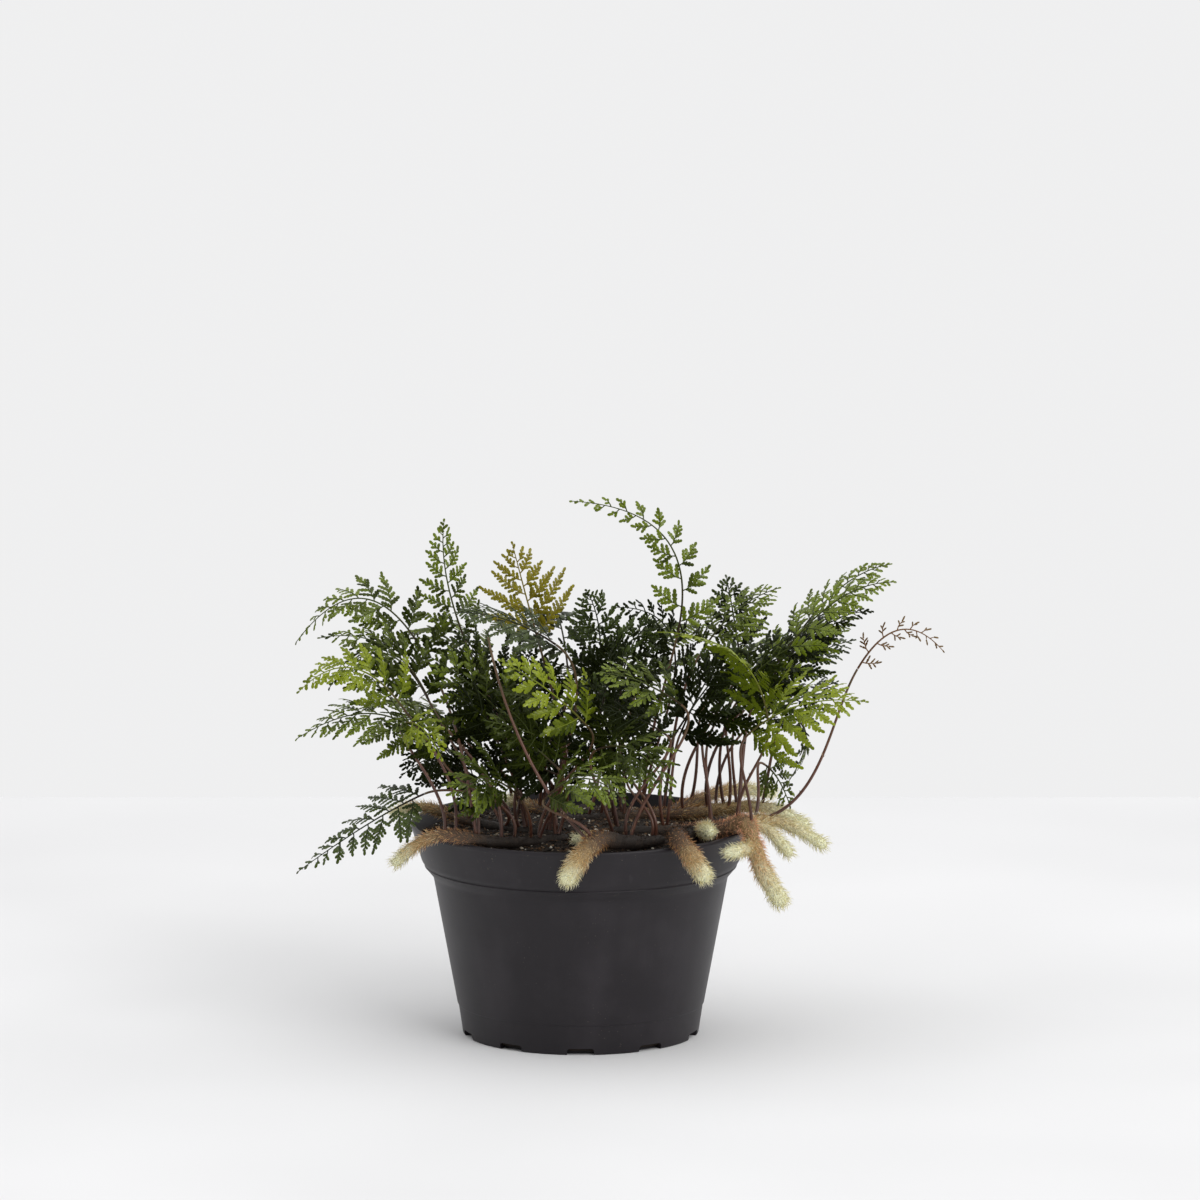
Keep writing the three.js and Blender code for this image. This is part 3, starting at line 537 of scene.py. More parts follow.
# Each branch: points of x, y, z and radius in millimetres, then how ruddy it is and the length
# of it that is still young.
RHIZOMES = {
    "left": [
        ([[-6, -30, 103.6, 3.2], [-27, -46, 104.8, 3.8], [-43, -59, 107.4, 3.8],
          [-56, -61, 109.6, 3.9], [-67, -58, 109.4, 3.9], [-78, -54, 103.6, 3.7],
          [-89, -52, 93, 3.4]], 0.25, 54),
        ([[-6, -30, 103.6, 3.2], [-28, -14, 104.4, 3.4], [-54, 4, 105.2, 3.4],
          [-78, 17, 108.6, 3.4], [-92, 16, 105, 3]], 0.1, 52),
    ],
    "front": [
        ([[40, -36, 104.2, 3.6], [31, -50, 105.4, 4.4], [20, -66, 108.6, 5.2], [9, -79, 111.6, 6],
          [1, -90.6, 105.6, 6.1], [-7, -95, 92, 6]], 0.15, 44),
        ([[31, -50, 105.4, 4], [14, -46, 105.2, 3.4], [-3, -51, 104.6, 3.2]], 0, 30),
    ],
    "right": [
        ([[16, -14, 104.2, 3.2], [38, -18, 104.8, 3.8], [56, -22, 105.2, 4.4],
          [70, -31, 107.4, 5], [79, -37, 111.4, 5.3], [83, -47, 102, 5.5],
          [88, -50, 88.5, 5.6], [97, -52, 73, 5.4]], 1, 100),
        ([[56, -22, 105.2, 4.4], [50, -44, 107.2, 5], [46, -67, 111.2, 5.6], [53, -81, 103, 5.8],
          [60, -84, 91.4, 5.6]], 0.3, 38),
        ([[83, -47, 102, 4.4], [78, -58, 101.2, 4], [70, -64, 100.4, 3.6]], 0, 60),
        ([[66, -27, 106, 3.8], [82, -17, 108.6, 3.8], [100, -15, 105.4, 3.8],
          [118, -15, 94.6, 3.4]], 0, 110),
        ([[72, -30, 107.4, 4], [88, -27, 106.6, 3.8], [101, -28, 93, 3.6]], 0.1, 90),
        ([[58, -26, 105.6, 4], [60, -42, 107.8, 4.4], [62, -52, 108.6, 4.2]], 0, 60),
    ],
    "back": [
        ([[-4, 18, 104, 3.2], [28, 24, 104.4, 3.6], [55, 21, 105.6, 4], [78, 18, 108.6, 4],
          [94, 12, 108, 3.8], [110, 10, 99.8, 3.4]], 0.1, 110),
        ([[42, 24, 105, 3.8], [58, 43, 108, 3.8], [74, 56, 109.8, 3.8],
          [95, 61, 107, 3.4]], 0.2, 90),
        ([[-4, 18, 104, 3.2], [-20, 38, 104.2, 3.4], [-36, 58, 104.4, 3.2]], 0, 40),
    ],
}
RHIZOME_FACETS, RHIZOME_STEP = 14, 0.0016
RHIZOME_TIP = 0.0015  # soft growth beyond the last point
TIP_ROUND, TIP_LEAST = 1.15, 0.004  # how long the rounded tip is in radii, and its blunt end
FOOT_SHARE = 0.3  # how thick a branch starts
SWELLING, SWELLINGS = 0.07, 420  # as a share of the radius, and radians to the metre
OLD_SINK = 0.0026  # how far the old parts have sunk into the mix
SKIN_SHARE = 0.70  # the bare stem inside its coat of hair, as a share of the whole radius
SKIN_LUMPS, SKIN_LUMP = 330, 0.0011
SKIN_CLOUDS, SKIN_SCALES, SKIN_RELIEF = 300, 1900, 0.0005
HAIRS_PER_M2, HAIR_LENGTH, HAIR_RADIUS = 700000, 0.0034, 0.00015
HAIR_SIZES, HAIR_LEAN, HAIR_STRAY, HAIR_TWIST = (0.5, 1.15), 0.55, 0.5, 0.8
HAIR_BEND, HAIR_RINGS, HAIR_TIP = 0.3, ((0, 1), (0.55, 0.8)), (0.38, 0, 0.96)
HAIR_CLOUDS = 260
SOIL_LEVEL, RIM_REACH = 0.0985, 0.079  # hair grows only above the mix or over the rim
SKIN_DARK = (0.017, 0.010, 0.006)
SKIN_TONES = [  # from the old stem to the growing tip, darkened as painted shade between hairs
    (0.0, SKIN_DARK), (0.4, (0.13, 0.08, 0.045)), (0.7, (0.46, 0.32, 0.14)),
    (0.95, (0.93, 0.94, 0.66)),
]
HAIR_TONES = [
    (0.0, (0.024, 0.014, 0.009)), (0.12, (0.080, 0.042, 0.018)), (0.32, (0.38, 0.18, 0.060)),
    (0.55, (0.76, 0.44, 0.15)), (0.78, (0.98, 0.88, 0.54)), (0.95, (0.99, 0.98, 0.84)),
]
RUDDY, HAIR_GLOW = (0.98, 0.52, 0.32), (0.99, 0.95, 0.72)
CURVE_STEPS = 24


def smooth_path(points, step):
    """A centripetal curve through the points, as places a step apart: place, share of way."""
    points = [Vector(point) for point in points]
    ends = [points[0] * 2 - points[1], *points, points[-1] * 2 - points[-2]]
    dense = []
    for i in range(1, len(ends) - 2):
        a, b, c, d = ends[i - 1:i + 3]
        ab, bc, cd = ((q - p).length ** 0.5 for p, q in ((a, b), (b, c), (c, d)))
        leave = ((b - a) / ab - (c - a) / (ab + bc) + (c - b) / bc) * bc
        reach = ((c - b) / bc - (d - b) / (bc + cd) + (d - c) / cd) * bc
        for k in range(CURVE_STEPS):
            t = k / CURVE_STEPS
            dense.append(
                b * (2 * t**3 - 3 * t**2 + 1) + leave * (t**3 - 2 * t**2 + t)
                + c * (3 * t**2 - 2 * t**3) + reach * (t**3 - t**2)
            )
    dense.append(points[-1])
    lengths = [0]
    for p, q in zip(dense, dense[1:]):
        lengths.append(lengths[-1] + (q - p).length)
    count = max(3, round(lengths[-1] / step))
    path, k = [], 0
    for i in range(count + 1):
        want = lengths[-1] * i / count
        while k < len(dense) - 2 and lengths[k + 1] < want:
            k += 1
        part = (want - lengths[k]) / max(lengths[k + 1] - lengths[k], 1e-9)
        path.append((dense[k].lerp(dense[k + 1], min(part, 1)), i / count))
    return path, lengths[-1]


def keep(mesh, label, values):
    """Keeps a number or a direction for each vertex under a name."""
    kind, part = "FLOAT", "value"
    if isinstance(values[0], Vector):
        kind, part, values = "FLOAT_VECTOR", "vector", [x for value in values for x in value]
    mesh.attributes.new(label, kind, "POINT").data.foreach_set(part, values)


def lines_object(name, lines):
    """Open lines as one mesh. A line's points are dictionaries: the place and named numbers."""
    vertices, edges, kept = [], [], {}
    for line in lines:
        edges += [(len(vertices) + k, len(vertices) + k + 1) for k in range(len(line) - 1)]
        for point in line:
            vertices.append(point["place"])
            for label, value in point.items():
                kept.setdefault(label, []).append(value)
    made = new_object(name, vertices, [], edges=edges)
    del kept["place"]
    for label, values in kept.items():
        keep(made.data, label, values)
    return made


def between(ends, t):
    return ends[0] + (ends[1] - ends[0]) * t


def branch_line(points, ruddy, young):
    """The line of one branch, with its radius and how near it is to the growing tip."""
    way = [Vector(point[:3]) * MM for point in points]
    way[-1] = way[-1] + (way[-1] - way[-2]).normalized() * RHIZOME_TIP
    path, length = smooth_path(way, RHIZOME_STEP)
    line = []
    for place, u in path:
        where = u * (len(points) - 1)
        k = min(int(where), len(points) - 2)
        radius = between((points[k][3], points[k + 1][3]), where - k) * MM
        end = min(1, (1 - u) * length / (radius * TIP_ROUND))
        start = min(1, FOOT_SHARE + u * length / radius)
        swell = 1 + SWELLING * math.sin(u * length * SWELLINGS + points[0][0]) * end
        dome = math.sqrt(max(1 - (1 - end) ** 2, TIP_LEAST))
        youth = max(0.0, 1 - (1 - u) * length / (young * MM))
        line.append({
            "place": place - Vector((0, 0, OLD_SINK * (1 - youth))),
            "radius": radius * SKIN_SHARE * swell * dome * start,
            "youth": youth,
            "ruddy": float(ruddy),
        })
    return line


def attribute(nodes, name, kind="FLOAT"):
    return nodes.node("GeometryNodeInputNamedAttribute", {"data_type": kind}, {"Name": name})


def facing(nodes, primary, secondary, axes=("Z", "X")):
    """The rotation that turns one axis along primary, and another towards secondary."""
    kind = {"primary_axis": axes[0], "secondary_axis": axes[1]}
    return nodes.node("FunctionNodeAxesToRotation", kind, {0: primary, 1: secondary})


def curves(nodes, lines):
    return nodes.node("GeometryNodeMeshToCurve", None, {"Mesh": lines})


def tube(nodes, curve, facets):
    """A closed tube round each curve, as thick as its radius says."""
    ring = {"Resolution": facets, "Radius": 1.0}
    return nodes.node("GeometryNodeCurveToMesh", None, {
        "Curve": curve, "Scale": attribute(nodes, "radius"), "Fill Caps": True,
        "Profile Curve": nodes.node("GeometryNodeCurvePrimitiveCircle", None, ring),
    })


def strewn(nodes, mesh, shape, density, seed):
    """Points all over a mesh, with the shape that stands on them, and the way outward there."""
    sockets = {"Mesh": mesh, "Density": density, "Seed": seed}
    points = nodes.node("GeometryNodeDistributePointsOnFaces", None, sockets)
    shape = nodes.node("GeometryNodeObjectInfo", None, {"Object": shape}, "Geometry")
    outward = Field(nodes.tree, points.socket.node.outputs["Normal"])
    return {"Points": points, "Instance": shape}, outward


def astray(nodes, way, reach, seed):
    """A direction, turned at random for each element by up to reach to each side."""
    return nodes.vector("ADD", way, random_vector(nodes, (-reach,) * 3, (reach,) * 3, seed))


def fur_tree():
    nodes, given = new_tree("furry_stem", {
        "Hair": "Object", "Density": "Float", "Length": "Float", "Facets": "Int",
        "Soil": "Float", "Wall": "Float", "Seed": "Int", "Skin": "Material", "Coat": "Material",
    })
    here = nodes.node("GeometryNodeInputPosition")
    lines = nodes.node("GeometryNodeStoreNamedAttribute", {"data_type": "FLOAT_VECTOR"}, {
        "Geometry": curves(nodes, given["Geometry"]), "Name": "ahead",
        "Value": nodes.node("GeometryNodeInputTangent"),
    })
    lumps = (here.noise(SKIN_LUMPS, 2) - 0.5) * SKIN_LUMP
    stem = nodes.node("GeometryNodeSetPosition", None, {
        "Geometry": tube(nodes, lines, given["Facets"]),
        "Offset": nodes.vector("MULTIPLY", nodes.node("GeometryNodeInputNormal"), lumps),
    })
    away = (here.axis("X") ** 2 + here.axis("Y") ** 2).over(given["Wall"] ** 2)
    open_air = away.math("MAXIMUM", away, here.axis("Z").over(given["Soil"]))
    youth = attribute(nodes, "youth")
    density = given["Density"] * (youth * 0.9 + 0.9) * open_air
    hairs, outward = strewn(nodes, stem, given["Hair"], density, given["Seed"])
    ahead = attribute(nodes, "ahead", "FLOAT_VECTOR")
    swept = nodes.vector("ADD", outward, nodes.vector("MULTIPLY", ahead, (HAIR_LEAN,) * 3))
    hairs = nodes.node("GeometryNodeInstanceOnPoints", None, {
        **hairs,
        "Rotation": facing(nodes, astray(nodes, swept, HAIR_STRAY, 7),
                           astray(nodes, ahead, HAIR_TWIST, 12)),
        "Scale": given["Length"] * random_value(nodes, *HAIR_SIZES, 9) * (youth * 0.4 + 0.65),
    })
    hairs = toned(nodes, hairs, random_value(nodes, 0.0, 1.0, 21))
    return close_tree(nodes, (stem, given["Skin"]), (hairs, given["Coat"]))


def hair_shape():
    """One hair of length 1: three-sided, bent forwards and drawn out to a point."""
    vertices, faces = [], [[2, 1, 0]]
    for height, width in HAIR_RINGS:
        for k in range(3):
            a = math.tau * k / 3
            thin = HAIR_RADIUS / HAIR_LENGTH * width
            bent = thin * math.cos(a) + HAIR_BEND * height**2
            vertices.append((bent, thin * math.sin(a), height))
    vertices.append(HAIR_TIP)
    for k in range(3):
        m = (k + 1) % 3
        faces += [[k, m, 3 + m, 3 + k], [3 + k, 3 + m, 6]]
    return new_object("hair", vertices, faces)


def rhizome_skin():
    material, place = new_material("rhizome_skin")
    tone = place.named("youth") + place.noise(SKIN_CLOUDS, 3) * 0.3 - 0.15
    scales = place.noise(SKIN_SCALES, 3)
    # Painted shade: the skin stays dark where it shows between the hairs, with darker blotches.
    colour = (scales.ramp(0.55, 0.35) * 0.5).tint(tone.stops(SKIN_TONES), SKIN_DARK)
    return finish(material, coated(place, colour, scales, 0.6, 0.2, depth=SKIN_RELIEF))


def rhizome_hair():
    material, place = new_material("rhizome_hair")
    patch = place.noise(HAIR_CLOUDS, 3)
    youth = place.named("youth")
    stray = (place.named("tone") - 0.5) * 0.6 * youth.ramp(0.0, 0.3)
    # Patches of darker and paler hair: partly its own colour, partly painted shade between
    # clumps.
    clouds = (patch - 0.5) * (youth.ramp(0.05, 0.35) * 0.4 + 0.1)
    tone = youth + youth.ramp(0.72, 1.0) * 0.25 + stray + clouds
    ruddy = place.named("ruddy") * youth.ramp(0.95, 0.6) * youth.ramp(0.0, 0.3) * 0.95
    shader = coated(place, ruddy.tint(tone.stops(HAIR_TONES), RUDDY), patch, 0.5, 0.2, 0.2)
    share = youth.ramp(0.35, 0.95) * 0.7
    return finish(material, glowing(shader, HAIR_GLOW, share))


fur, hair = fur_tree(), hair_shape()
skin, coat = rhizome_skin(), rhizome_hair()
for number, (name, branches) in enumerate(RHIZOMES.items()):
    lines = [branch_line(*branch) for branch in branches]
    stem = grown(lines_object("rhizome_" + name + "_furry", lines), fur, {
        "Hair": hair, "Density": HAIRS_PER_M2, "Length": HAIR_LENGTH, "Facets": RHIZOME_FACETS,
        "Soil": SOIL_LEVEL, "Wall": RIM_REACH, "Seed": 30 + number, "Skin": skin, "Coat": coat,
    })
    place_piece(stem, "rhizome", "rhizome_" + name)
bpy.data.objects.remove(hair)


# ---- Stalks -------------------------------------------------------------------------
# Wiry, glossy stalks, one to a frond. Each grows out of its rhizome, red-brown below and
# greener towards the blade, with a few papery flakes of chaff clinging to its foot.

# Each frond: its rhizome, colour, reach of the lowest side ribs and pairs of side ribs; the
# stalk's foot, and the midrib's neck, middle and tip; the way that the upper side looks; and
# for one frond a place that its stalk passes. Lengths and places are in millimetres.
FRONDS = {
    "left_1": ("left", "mid", 21, 6, (-50, -59, 108), (-72, -5, 180), (-103, -12, 215),
        (-137, -18, 195), (-0.3, -0.6, 0.75)),
    "left_2": ("left", "mid", 19, 6, (-38, -55, 106), (-73, -22, 167), (-94, -25, 194),
        (-125, -30, 199), (-0.2, -0.6, 0.8)),
    "left_3": ("left", "lime", 18, 6, (-60, -60, 109), (-85, -48, 168), (-109, -58, 189),
        (-134, -66, 179), (-0.2, -0.7, 0.7)),
    "left_4": ("left", "mid", 30, 6, (-54, 4, 105), (-74, -25, 147), (-101, -35, 163),
        (-136, -42, 152), (0, -0.5, 0.9)),
    "left_5": ("left", "dark", 21, 6, (-32, -50, 105), (-75, -42, 125), (-102, -52, 112),
        (-135, -62, 91), (-0.2, -0.6, 0.75)),
    "left_6": ("left", "lime", 11, 5, (-65, -59, 109), (-84, -57, 162), (-75, -67, 161),
        (-66, -74, 148), (-0.1, -0.7, 0.7)),
    "left_7": ("left", "mid", 16, 6, (-26, -15, 104), (-56, 0, 193), (-65, 2, 224),
        (-66, 0, 251), (0.3, -0.9, 0.2)),
    "left_8": ("left", "dark", 26, 6, (-16, -22, 104), (-12, -25, 195), (-36, -30, 208),
        (-60, -35, 212), (0, -0.3, 1)),
    "top_1": ("back", "bronze", 27, 5, (-12, 28, 104), (-21, 12, 192), (-27, 10, 215),
        (-33, 6, 239), (0, -0.9, 0.4)),
    "top_2": ("right", "dark", 22, 6, (18, -14, 104), (9, -10, 170), (9, -20, 201),
        (3, -32, 222), (0, -0.9, 0.3)),
    "top_3": ("back", "dark", 22, 5, (10, 21, 104), (19, 10, 162), (24, 8, 187),
        (35, 0, 202), (0, -0.8, 0.5)),
    "top_4": ("back", "mid", 16, 6, (30, 24, 104), (47, 8, 195), (41, 6, 242),
        (-4, 0, 261), (0, -0.9, 0.4)),
    "top_5": ("back", "mid", 26, 6, (40, 23, 104), (58, 12, 184), (75, 18, 204),
        (96, 22, 215), (-0.3, -0.6, 0.8)),
    "top_6": ("back", "dark", 16, 5, (50, 22, 105), (77, 27, 184), (74, 28, 203),
        (71, 30, 219), (0, -1, 0.3)),
    "front_1": ("left", "lime", 22, 5, (-20, -41, 104), (4, -58, 160), (-15, -70, 180),
        (-38, -78, 196), (0, -0.8, 0.6)),
    "front_2": ("left", "mid", 20, 5, (-12, -34, 104), (-10, -50, 150), (-28, -64, 160),
        (-46, -72, 166), (0, -0.8, 0.6)),
    "front_3": ("front", "mid", 30, 5, (5, -84, 110), (-17, -84, 130), (2, -94, 142),
        (22, -104, 132), (0, -0.5, 0.9)),
    "front_4": ("front", "mid", 22, 5, (24, -60, 107), (48, -50, 170), (28, -60, 183),
        (9, -66, 188), (0, -0.6, 0.8)),
    "right_1": ("back", "mid", 16, 6, (62, 20, 106), (99, 15, 183), (124, 18, 214),
        (150, 20, 227), (-0.4, -0.6, 0.7)),
    "right_2": ("right", "mid", 20, 6, (76, -21, 108), (89, -8, 175), (120, -8, 211),
        (151, -10, 223), (-0.4, -0.6, 0.7)),
    "right_3": ("back", "mid", 26, 6, (70, 19, 107), (82, 5, 169), (109, 10, 191),
        (132, 14, 202), (-0.3, -0.5, 0.8)),
    "right_4": ("back", "dark", 26, 6, (76, 18, 108), (80, 17, 156), (107, 24, 178),
        (133, 30, 188), (-0.2, -0.5, 0.8)),
    "right_5": ("right", "lime", 34, 6, (82, -41, 107), (80, -45, 154), (105, -58, 171),
        (136, -66, 174), (0, -0.6, 0.8)),
    "right_6": ("right", "lime", 22, 6, (75, -34, 109), (90, -50, 161), (74, -58, 195),
        (37, -62, 207), (0.2, 0.2, 1)),
    "right_7": ("back", "dark", 20, 5, (66, 20, 106), (87, 22, 150), (109, 32, 160),
        (125, 38, 166), (0, -0.4, 0.9)),
    "right_8": ("right", "mid", 12, 4, (84, -17, 108), (90, 8, 130), (96.5, 10, 122),
        (102, 12, 109), (0.4, -0.9, 0.4)),
    "right_9": ("back", "mid", 12, 4, (88, 14, 108), (105, 30, 149), (110, 36, 135),
        (99, 40, 112), (1, 0, 0.3)),
    "front_5": ("front", "mid", 30, 5, (16, -48, 105), (8, -62, 150), (28, -82, 152),
        (44, -95, 132), (0.1, -0.8, 0.6)),
    "middle_1": ("left", "mid", 34, 5, (-30, -14, 104), (-30, -12, 148), (-50, -20, 172),
        (-74, -26, 190), (0, -0.9, 0.5)),
    "middle_2": ("left", "mid", 30, 5, (-24, -44, 104), (-30, -52, 126), (-46, -66, 136),
        (-62, -82, 126), (0, -0.8, 0.6)),
    "middle_3": ("front", "dark", 36, 5, (36, -42, 105), (22, -34, 136), (14, -46, 162),
        (2, -56, 184), (0, -0.9, 0.5)),
    "middle_4": ("right", "dark", 27, 5, (40, -18, 105), (46, -16, 150), (62, -28, 176),
        (78, -38, 196), (0, -0.9, 0.5)),
    "back_1": ("back", "mid", 34, 5, (-30, 50, 104), (-38, 36, 162), (-64, 58, 188),
        (-92, 78, 178), (-0.2, 0.2, 1)),
    "back_2": ("back", "dark", 34, 5, (-20, 38, 104), (-6, 40, 168), (-12, 72, 194),
        (-20, 104, 180), (0, 0.3, 1)),
    "back_3": ("back", "mid", 34, 5, (20, 23, 104), (28, 45, 164), (40, 74, 188),
        (52, 104, 174), (0.1, 0.3, 1)),
    "back_4": ("back", "mid", 32, 5, (54, 39, 107), (62, 46, 156), (88, 66, 180),
        (114, 86, 172), (0.2, 0.3, 1)),
    "middle_5": ("left", "dark", 28, 5, (-36, -9, 104), (-44, -8, 122), (-62, -12, 140),
        (-86, -16, 146), (0, -0.9, 0.5)),
    "middle_6": ("back", "dark", 34, 5, (-12, 28, 104), (-32, 5, 150), (-45, -2, 176),
        (-60, -8, 198), (0, -0.9, 0.5)),
    "middle_7": ("left", "dark", 32, 5, (-10, -27, 104), (-8, -12, 122), (-14, -22, 146),
        (-22, -30, 172), (0, -0.9, 0.4)),
    "middle_8": ("right", "dark", 24, 5, (62, -25, 106), (62, -18, 158), (82, -24, 184),
        (102, -30, 200), (-0.2, -0.8, 0.6)),
    "back_5": ("back", "mid", 28, 5, (-34, 56, 104), (-56, 30, 138), (-84, 42, 156),
        (-112, 52, 146), (-0.2, 0.2, 1)),
    "back_6": ("back", "dark", 28, 5, (4, 20, 104), (10, 48, 134), (13, 78, 150),
        (16, 108, 138), (0, 0.3, 1)),
    "young": ("right", "young", 5, 5, (88, -16, 108), (134, -6, 180), (154, -6, 199),
        (175, -6, 189), (0, -1, 0.2), (118, -8, 116)),
}
# Old stalks that have lost their blades: the foot, three places that the top points along, and
# a place on the way.
SPENT_STALKS = {
    "front": [((4, -84, 110), (-44, -63, 205), (-44.9, -62, 209.8), (-45.7, -61, 214.6),
               (-20, -81, 134))],
}
INNER = ["left_1", "left_2", "left_4", "left_7", "left_8", "top_1", "top_2", "top_3", "top_4",
         "front_1", "front_2", "front_4", "middle_1", "middle_3", "middle_4", "middle_6",
         "middle_7", "middle_8", "right_2", "right_3", "middle_5", "back_1", "back_2", "back_3"]
INNER_SIZES, INNER_TURN, INNER_STRAY = (0.60, 0.84), 35, 2  # shares, degrees, millimetres
INNER_RAISED, RAISED_FROM = 0.2, 35  # how much taller they are beyond this x
INNER_DARK = 0.6  # the share of them that are dark
INNER_REACH, INNER_WIDER = 0.9, 0.15  # their ribs shrink less than they do
STALK_RADII, STALK_GAP = (0.00085, 0.00055), 0.0003
STALK_RISE, STALK_SETTLE, STALK_SWAY = 0.4, 0.3, 7  # shares of the length; millimetres
STALK_STATIONS, STALK_FACETS = 36, 8
FLAKES_PER_M2, FLAKE_LENGTH, FLAKE_SIZES = 42000, 0.0017, (0.35, 1.15)
FLAKE_WAYS = ((-0.5, -0.5, 0.4), (0.5, 0.5, 1.4))  # mostly upward
FLAKE_EDGE = [(-0.1, 0, 0), (0.35, -0.17, 0.04), (0.9, 0, 0.3), (0.35, 0.17, 0.04)]
FLAKE_MIDDLES = [(0.35, 0, 0.12), (0.35, 0, 0.0)]
STALK_TONES = [
    (0.0, (0.052, 0.017, 0.010)), (0.45, (0.094, 0.032, 0.017)), (1.0, (0.078, 0.052, 0.017)),
]
STALK_STREAK, STALK_STREAKS, STALK_STRETCH = (0.135, 0.060, 0.034), 700, (1, 1, 0.15)
STALK_RELIEF = 0.00012
CHAFF_DARK, CHAFF, CHAFF_BLOTCHES = (0.20, 0.12, 0.06), (0.42, 0.31, 0.19), 900


def midrib(neck, mid, tip):
    """The place on a blade's midrib at a share of its way, and the direction there."""
    neck, mid, tip = (Vector(point) * MM for point in (neck, mid, tip))
    bend = mid * 2 - (neck + tip) / 2
    return (
        lambda t: neck * (1 - t) ** 2 + bend * 2 * t * (1 - t) + tip * t * t,
        lambda t: ((bend - neck) * (1 - t) + (tip - bend) * t).normalized(),
    )


def inner_row(row, draw):
    """A shorter frond, lower inside the plant: like its neighbour, but turned and smaller."""
    on, _, half, pairs, foot, *blade, face = row[:9]
    turn = Matrix.Rotation(math.radians(draw.uniform(-INNER_TURN, INNER_TURN)), 3, "Z")
    size = draw.uniform(*INNER_SIZES) + (INNER_RAISED if foot[0] > RAISED_FROM else 0)
    aside = [draw.uniform(-INNER_STRAY, INNER_STRAY) for _ in "xy"]
    near = Vector(foot) + Vector((*aside, 0))
    blade = [near + turn @ ((Vector(point) - Vector(foot)) * size) for point in blade]
    leaf = "dark" if draw.random() < INNER_DARK else "mid"
    half *= min(INNER_REACH, size + INNER_WIDER)
    return (on, leaf, half, pairs, near, *blade, turn @ Vector(face))


draw = random.Random(5)
ALL_FRONDS = dict(FRONDS)
for number, name in enumerate(INNER):
    ALL_FRONDS[f"inner_{number + 1}"] = inner_row(FRONDS[name], draw)


def stalk_line(foot, neck, mid, tip, via, draw):
    """A stalk's centre line: it rises off its rhizome and runs on into the midrib."""
    at, ahead = midrib(neck, mid, tip)
    foot = Vector(foot) * MM
    top = at(0) - ahead(0) * STALK_GAP
    reach = (top - foot).length
    rise = Vector(via) * MM if via else foot + Vector((0, 0, STALK_RISE * reach))
    rise += Vector([draw.uniform(-1, 1) for _ in "xy"] + [0]) * STALK_SWAY * MM
    settle = top - ahead(0) * STALK_SETTLE * reach
    shade, line = draw.uniform(0, 1), []
    for i in range(STALK_STATIONS + 1):
        t = i / STALK_STATIONS
        line.append({
            "place": foot * (1 - t) ** 3 + rise * 3 * t * (1 - t) ** 2
            + settle * 3 * t * t * (1 - t) + top * t**3,
            "radius": between(STALK_RADII, t),
            "along": t,
            "tone": shade,
        })
    return line


def stalk_tree():
    nodes, given = new_tree("stalks", {
        "Flake": "Object", "Density": "Float", "Length": "Float", "Facets": "Int",
        "Seed": "Int", "Skin": "Material", "Chaff": "Material",
    })
    stems = tube(nodes, curves(nodes, given["Geometry"]), given["Facets"])
    density = given["Density"] * (1 - attribute(nodes, "along").ramp(0.25, 0.85))
    flakes, outward = strewn(nodes, stems, given["Flake"], density, given["Seed"])
    flakes = nodes.node("GeometryNodeInstanceOnPoints", None, {
        **flakes,
        "Rotation": facing(nodes, outward, random_vector(nodes, *FLAKE_WAYS, 4)),
        "Scale": given["Length"] * random_value(nodes, *FLAKE_SIZES, 6),
    })
    return close_tree(nodes, (stems, given["Skin"]), (flakes, given["Chaff"]))


def flake_shape():
    """A papery scale of length 1, a closed lozenge that lifts off the stalk at its tip."""
    faces = []
    for k in range(4):
        m = (k + 1) % 4
        faces += [[k, m, 4], [m, k, 5]]
    return new_object("flake", FLAKE_EDGE + FLAKE_MIDDLES, faces, smooth=False)


def stalk_skin():
    material, place = new_material("stalk_skin")
    tone = place.named("along") + (place.named("tone") - 0.5) * 0.35
    streaks = place.noise(STALK_STREAKS, 3, STALK_STRETCH)
    colour = streaks.ramp(0.45, 0.75).tint(tone.stops(STALK_TONES), STALK_STREAK)
    return finish(material, coated(place, colour, streaks, 0.26, 0.25, depth=STALK_RELIEF))


def chaff_paper():
    material, place = new_material("chaff_paper")
    blotch = place.noise(CHAFF_BLOTCHES, 2)
    colour = blotch.tint(CHAFF_DARK, CHAFF)
    return finish(material, coated(place, colour, blotch, 0.6, 0.2))


stalks, flake = stalk_tree(), flake_shape()
skin, chaff = stalk_skin(), chaff_paper()
for number, name in enumerate(RHIZOMES):
    draw = random.Random(100 + number)
    lines = []
    for on, _, _, _, foot, neck, mid, tip, _, *via in ALL_FRONDS.values():
        if on == name:
            lines.append(stalk_line(foot, neck, mid, tip, via[0] if via else None, draw))
    lines += [stalk_line(*places, draw) for places in SPENT_STALKS.get(name, [])]
    stems = grown(lines_object("stalks_" + name, lines), stalks, {
        "Flake": flake, "Density": FLAKES_PER_M2, "Length": FLAKE_LENGTH, "Facets": STALK_FACETS,
        "Seed": 60 + number, "Skin": skin, "Chaff": chaff,
    })
    place_piece(stems, "rhizome", "rhizome_" + name)
bpy.data.objects.remove(flake)


# ---- Fronds -------------------------------------------------------------------------
# Leathery blades, divided three times: a midrib, ribs to each side of it, and on these the
# toothed leaflets, alternating and smaller towards every tip. Each blade is one growth with
# its ribs, dark brown below and green above.
RIB_FIRST, RIB_SPAN, RIB_CROWDING, RIB_OFFSET = 0.05, 0.84, 1.35, 0.45
RIB_ANGLE, RIB_CLOSING, RIB_STRAY = 64, 32, 8
RIB_REACHES = (0.86, 1.05)  # shares of the full length
RIB_TAPER, RIB_LEAST, RIB_EDGE, RIB_DROOP, RIB_TURN = 1.1, 0.002, 0.0008, 0.18, 0.10
MIDRIB_RADII, RIB_RADII = (0.00055, 0.0002), (0.00034, 0.00012)
RIB_FACETS = 5
MIDRIB_STEP, MIDRIB_STEPS = 0.0022, 40
RIBS_MORE = 1.25  # pairs of side ribs to each pair of the solid
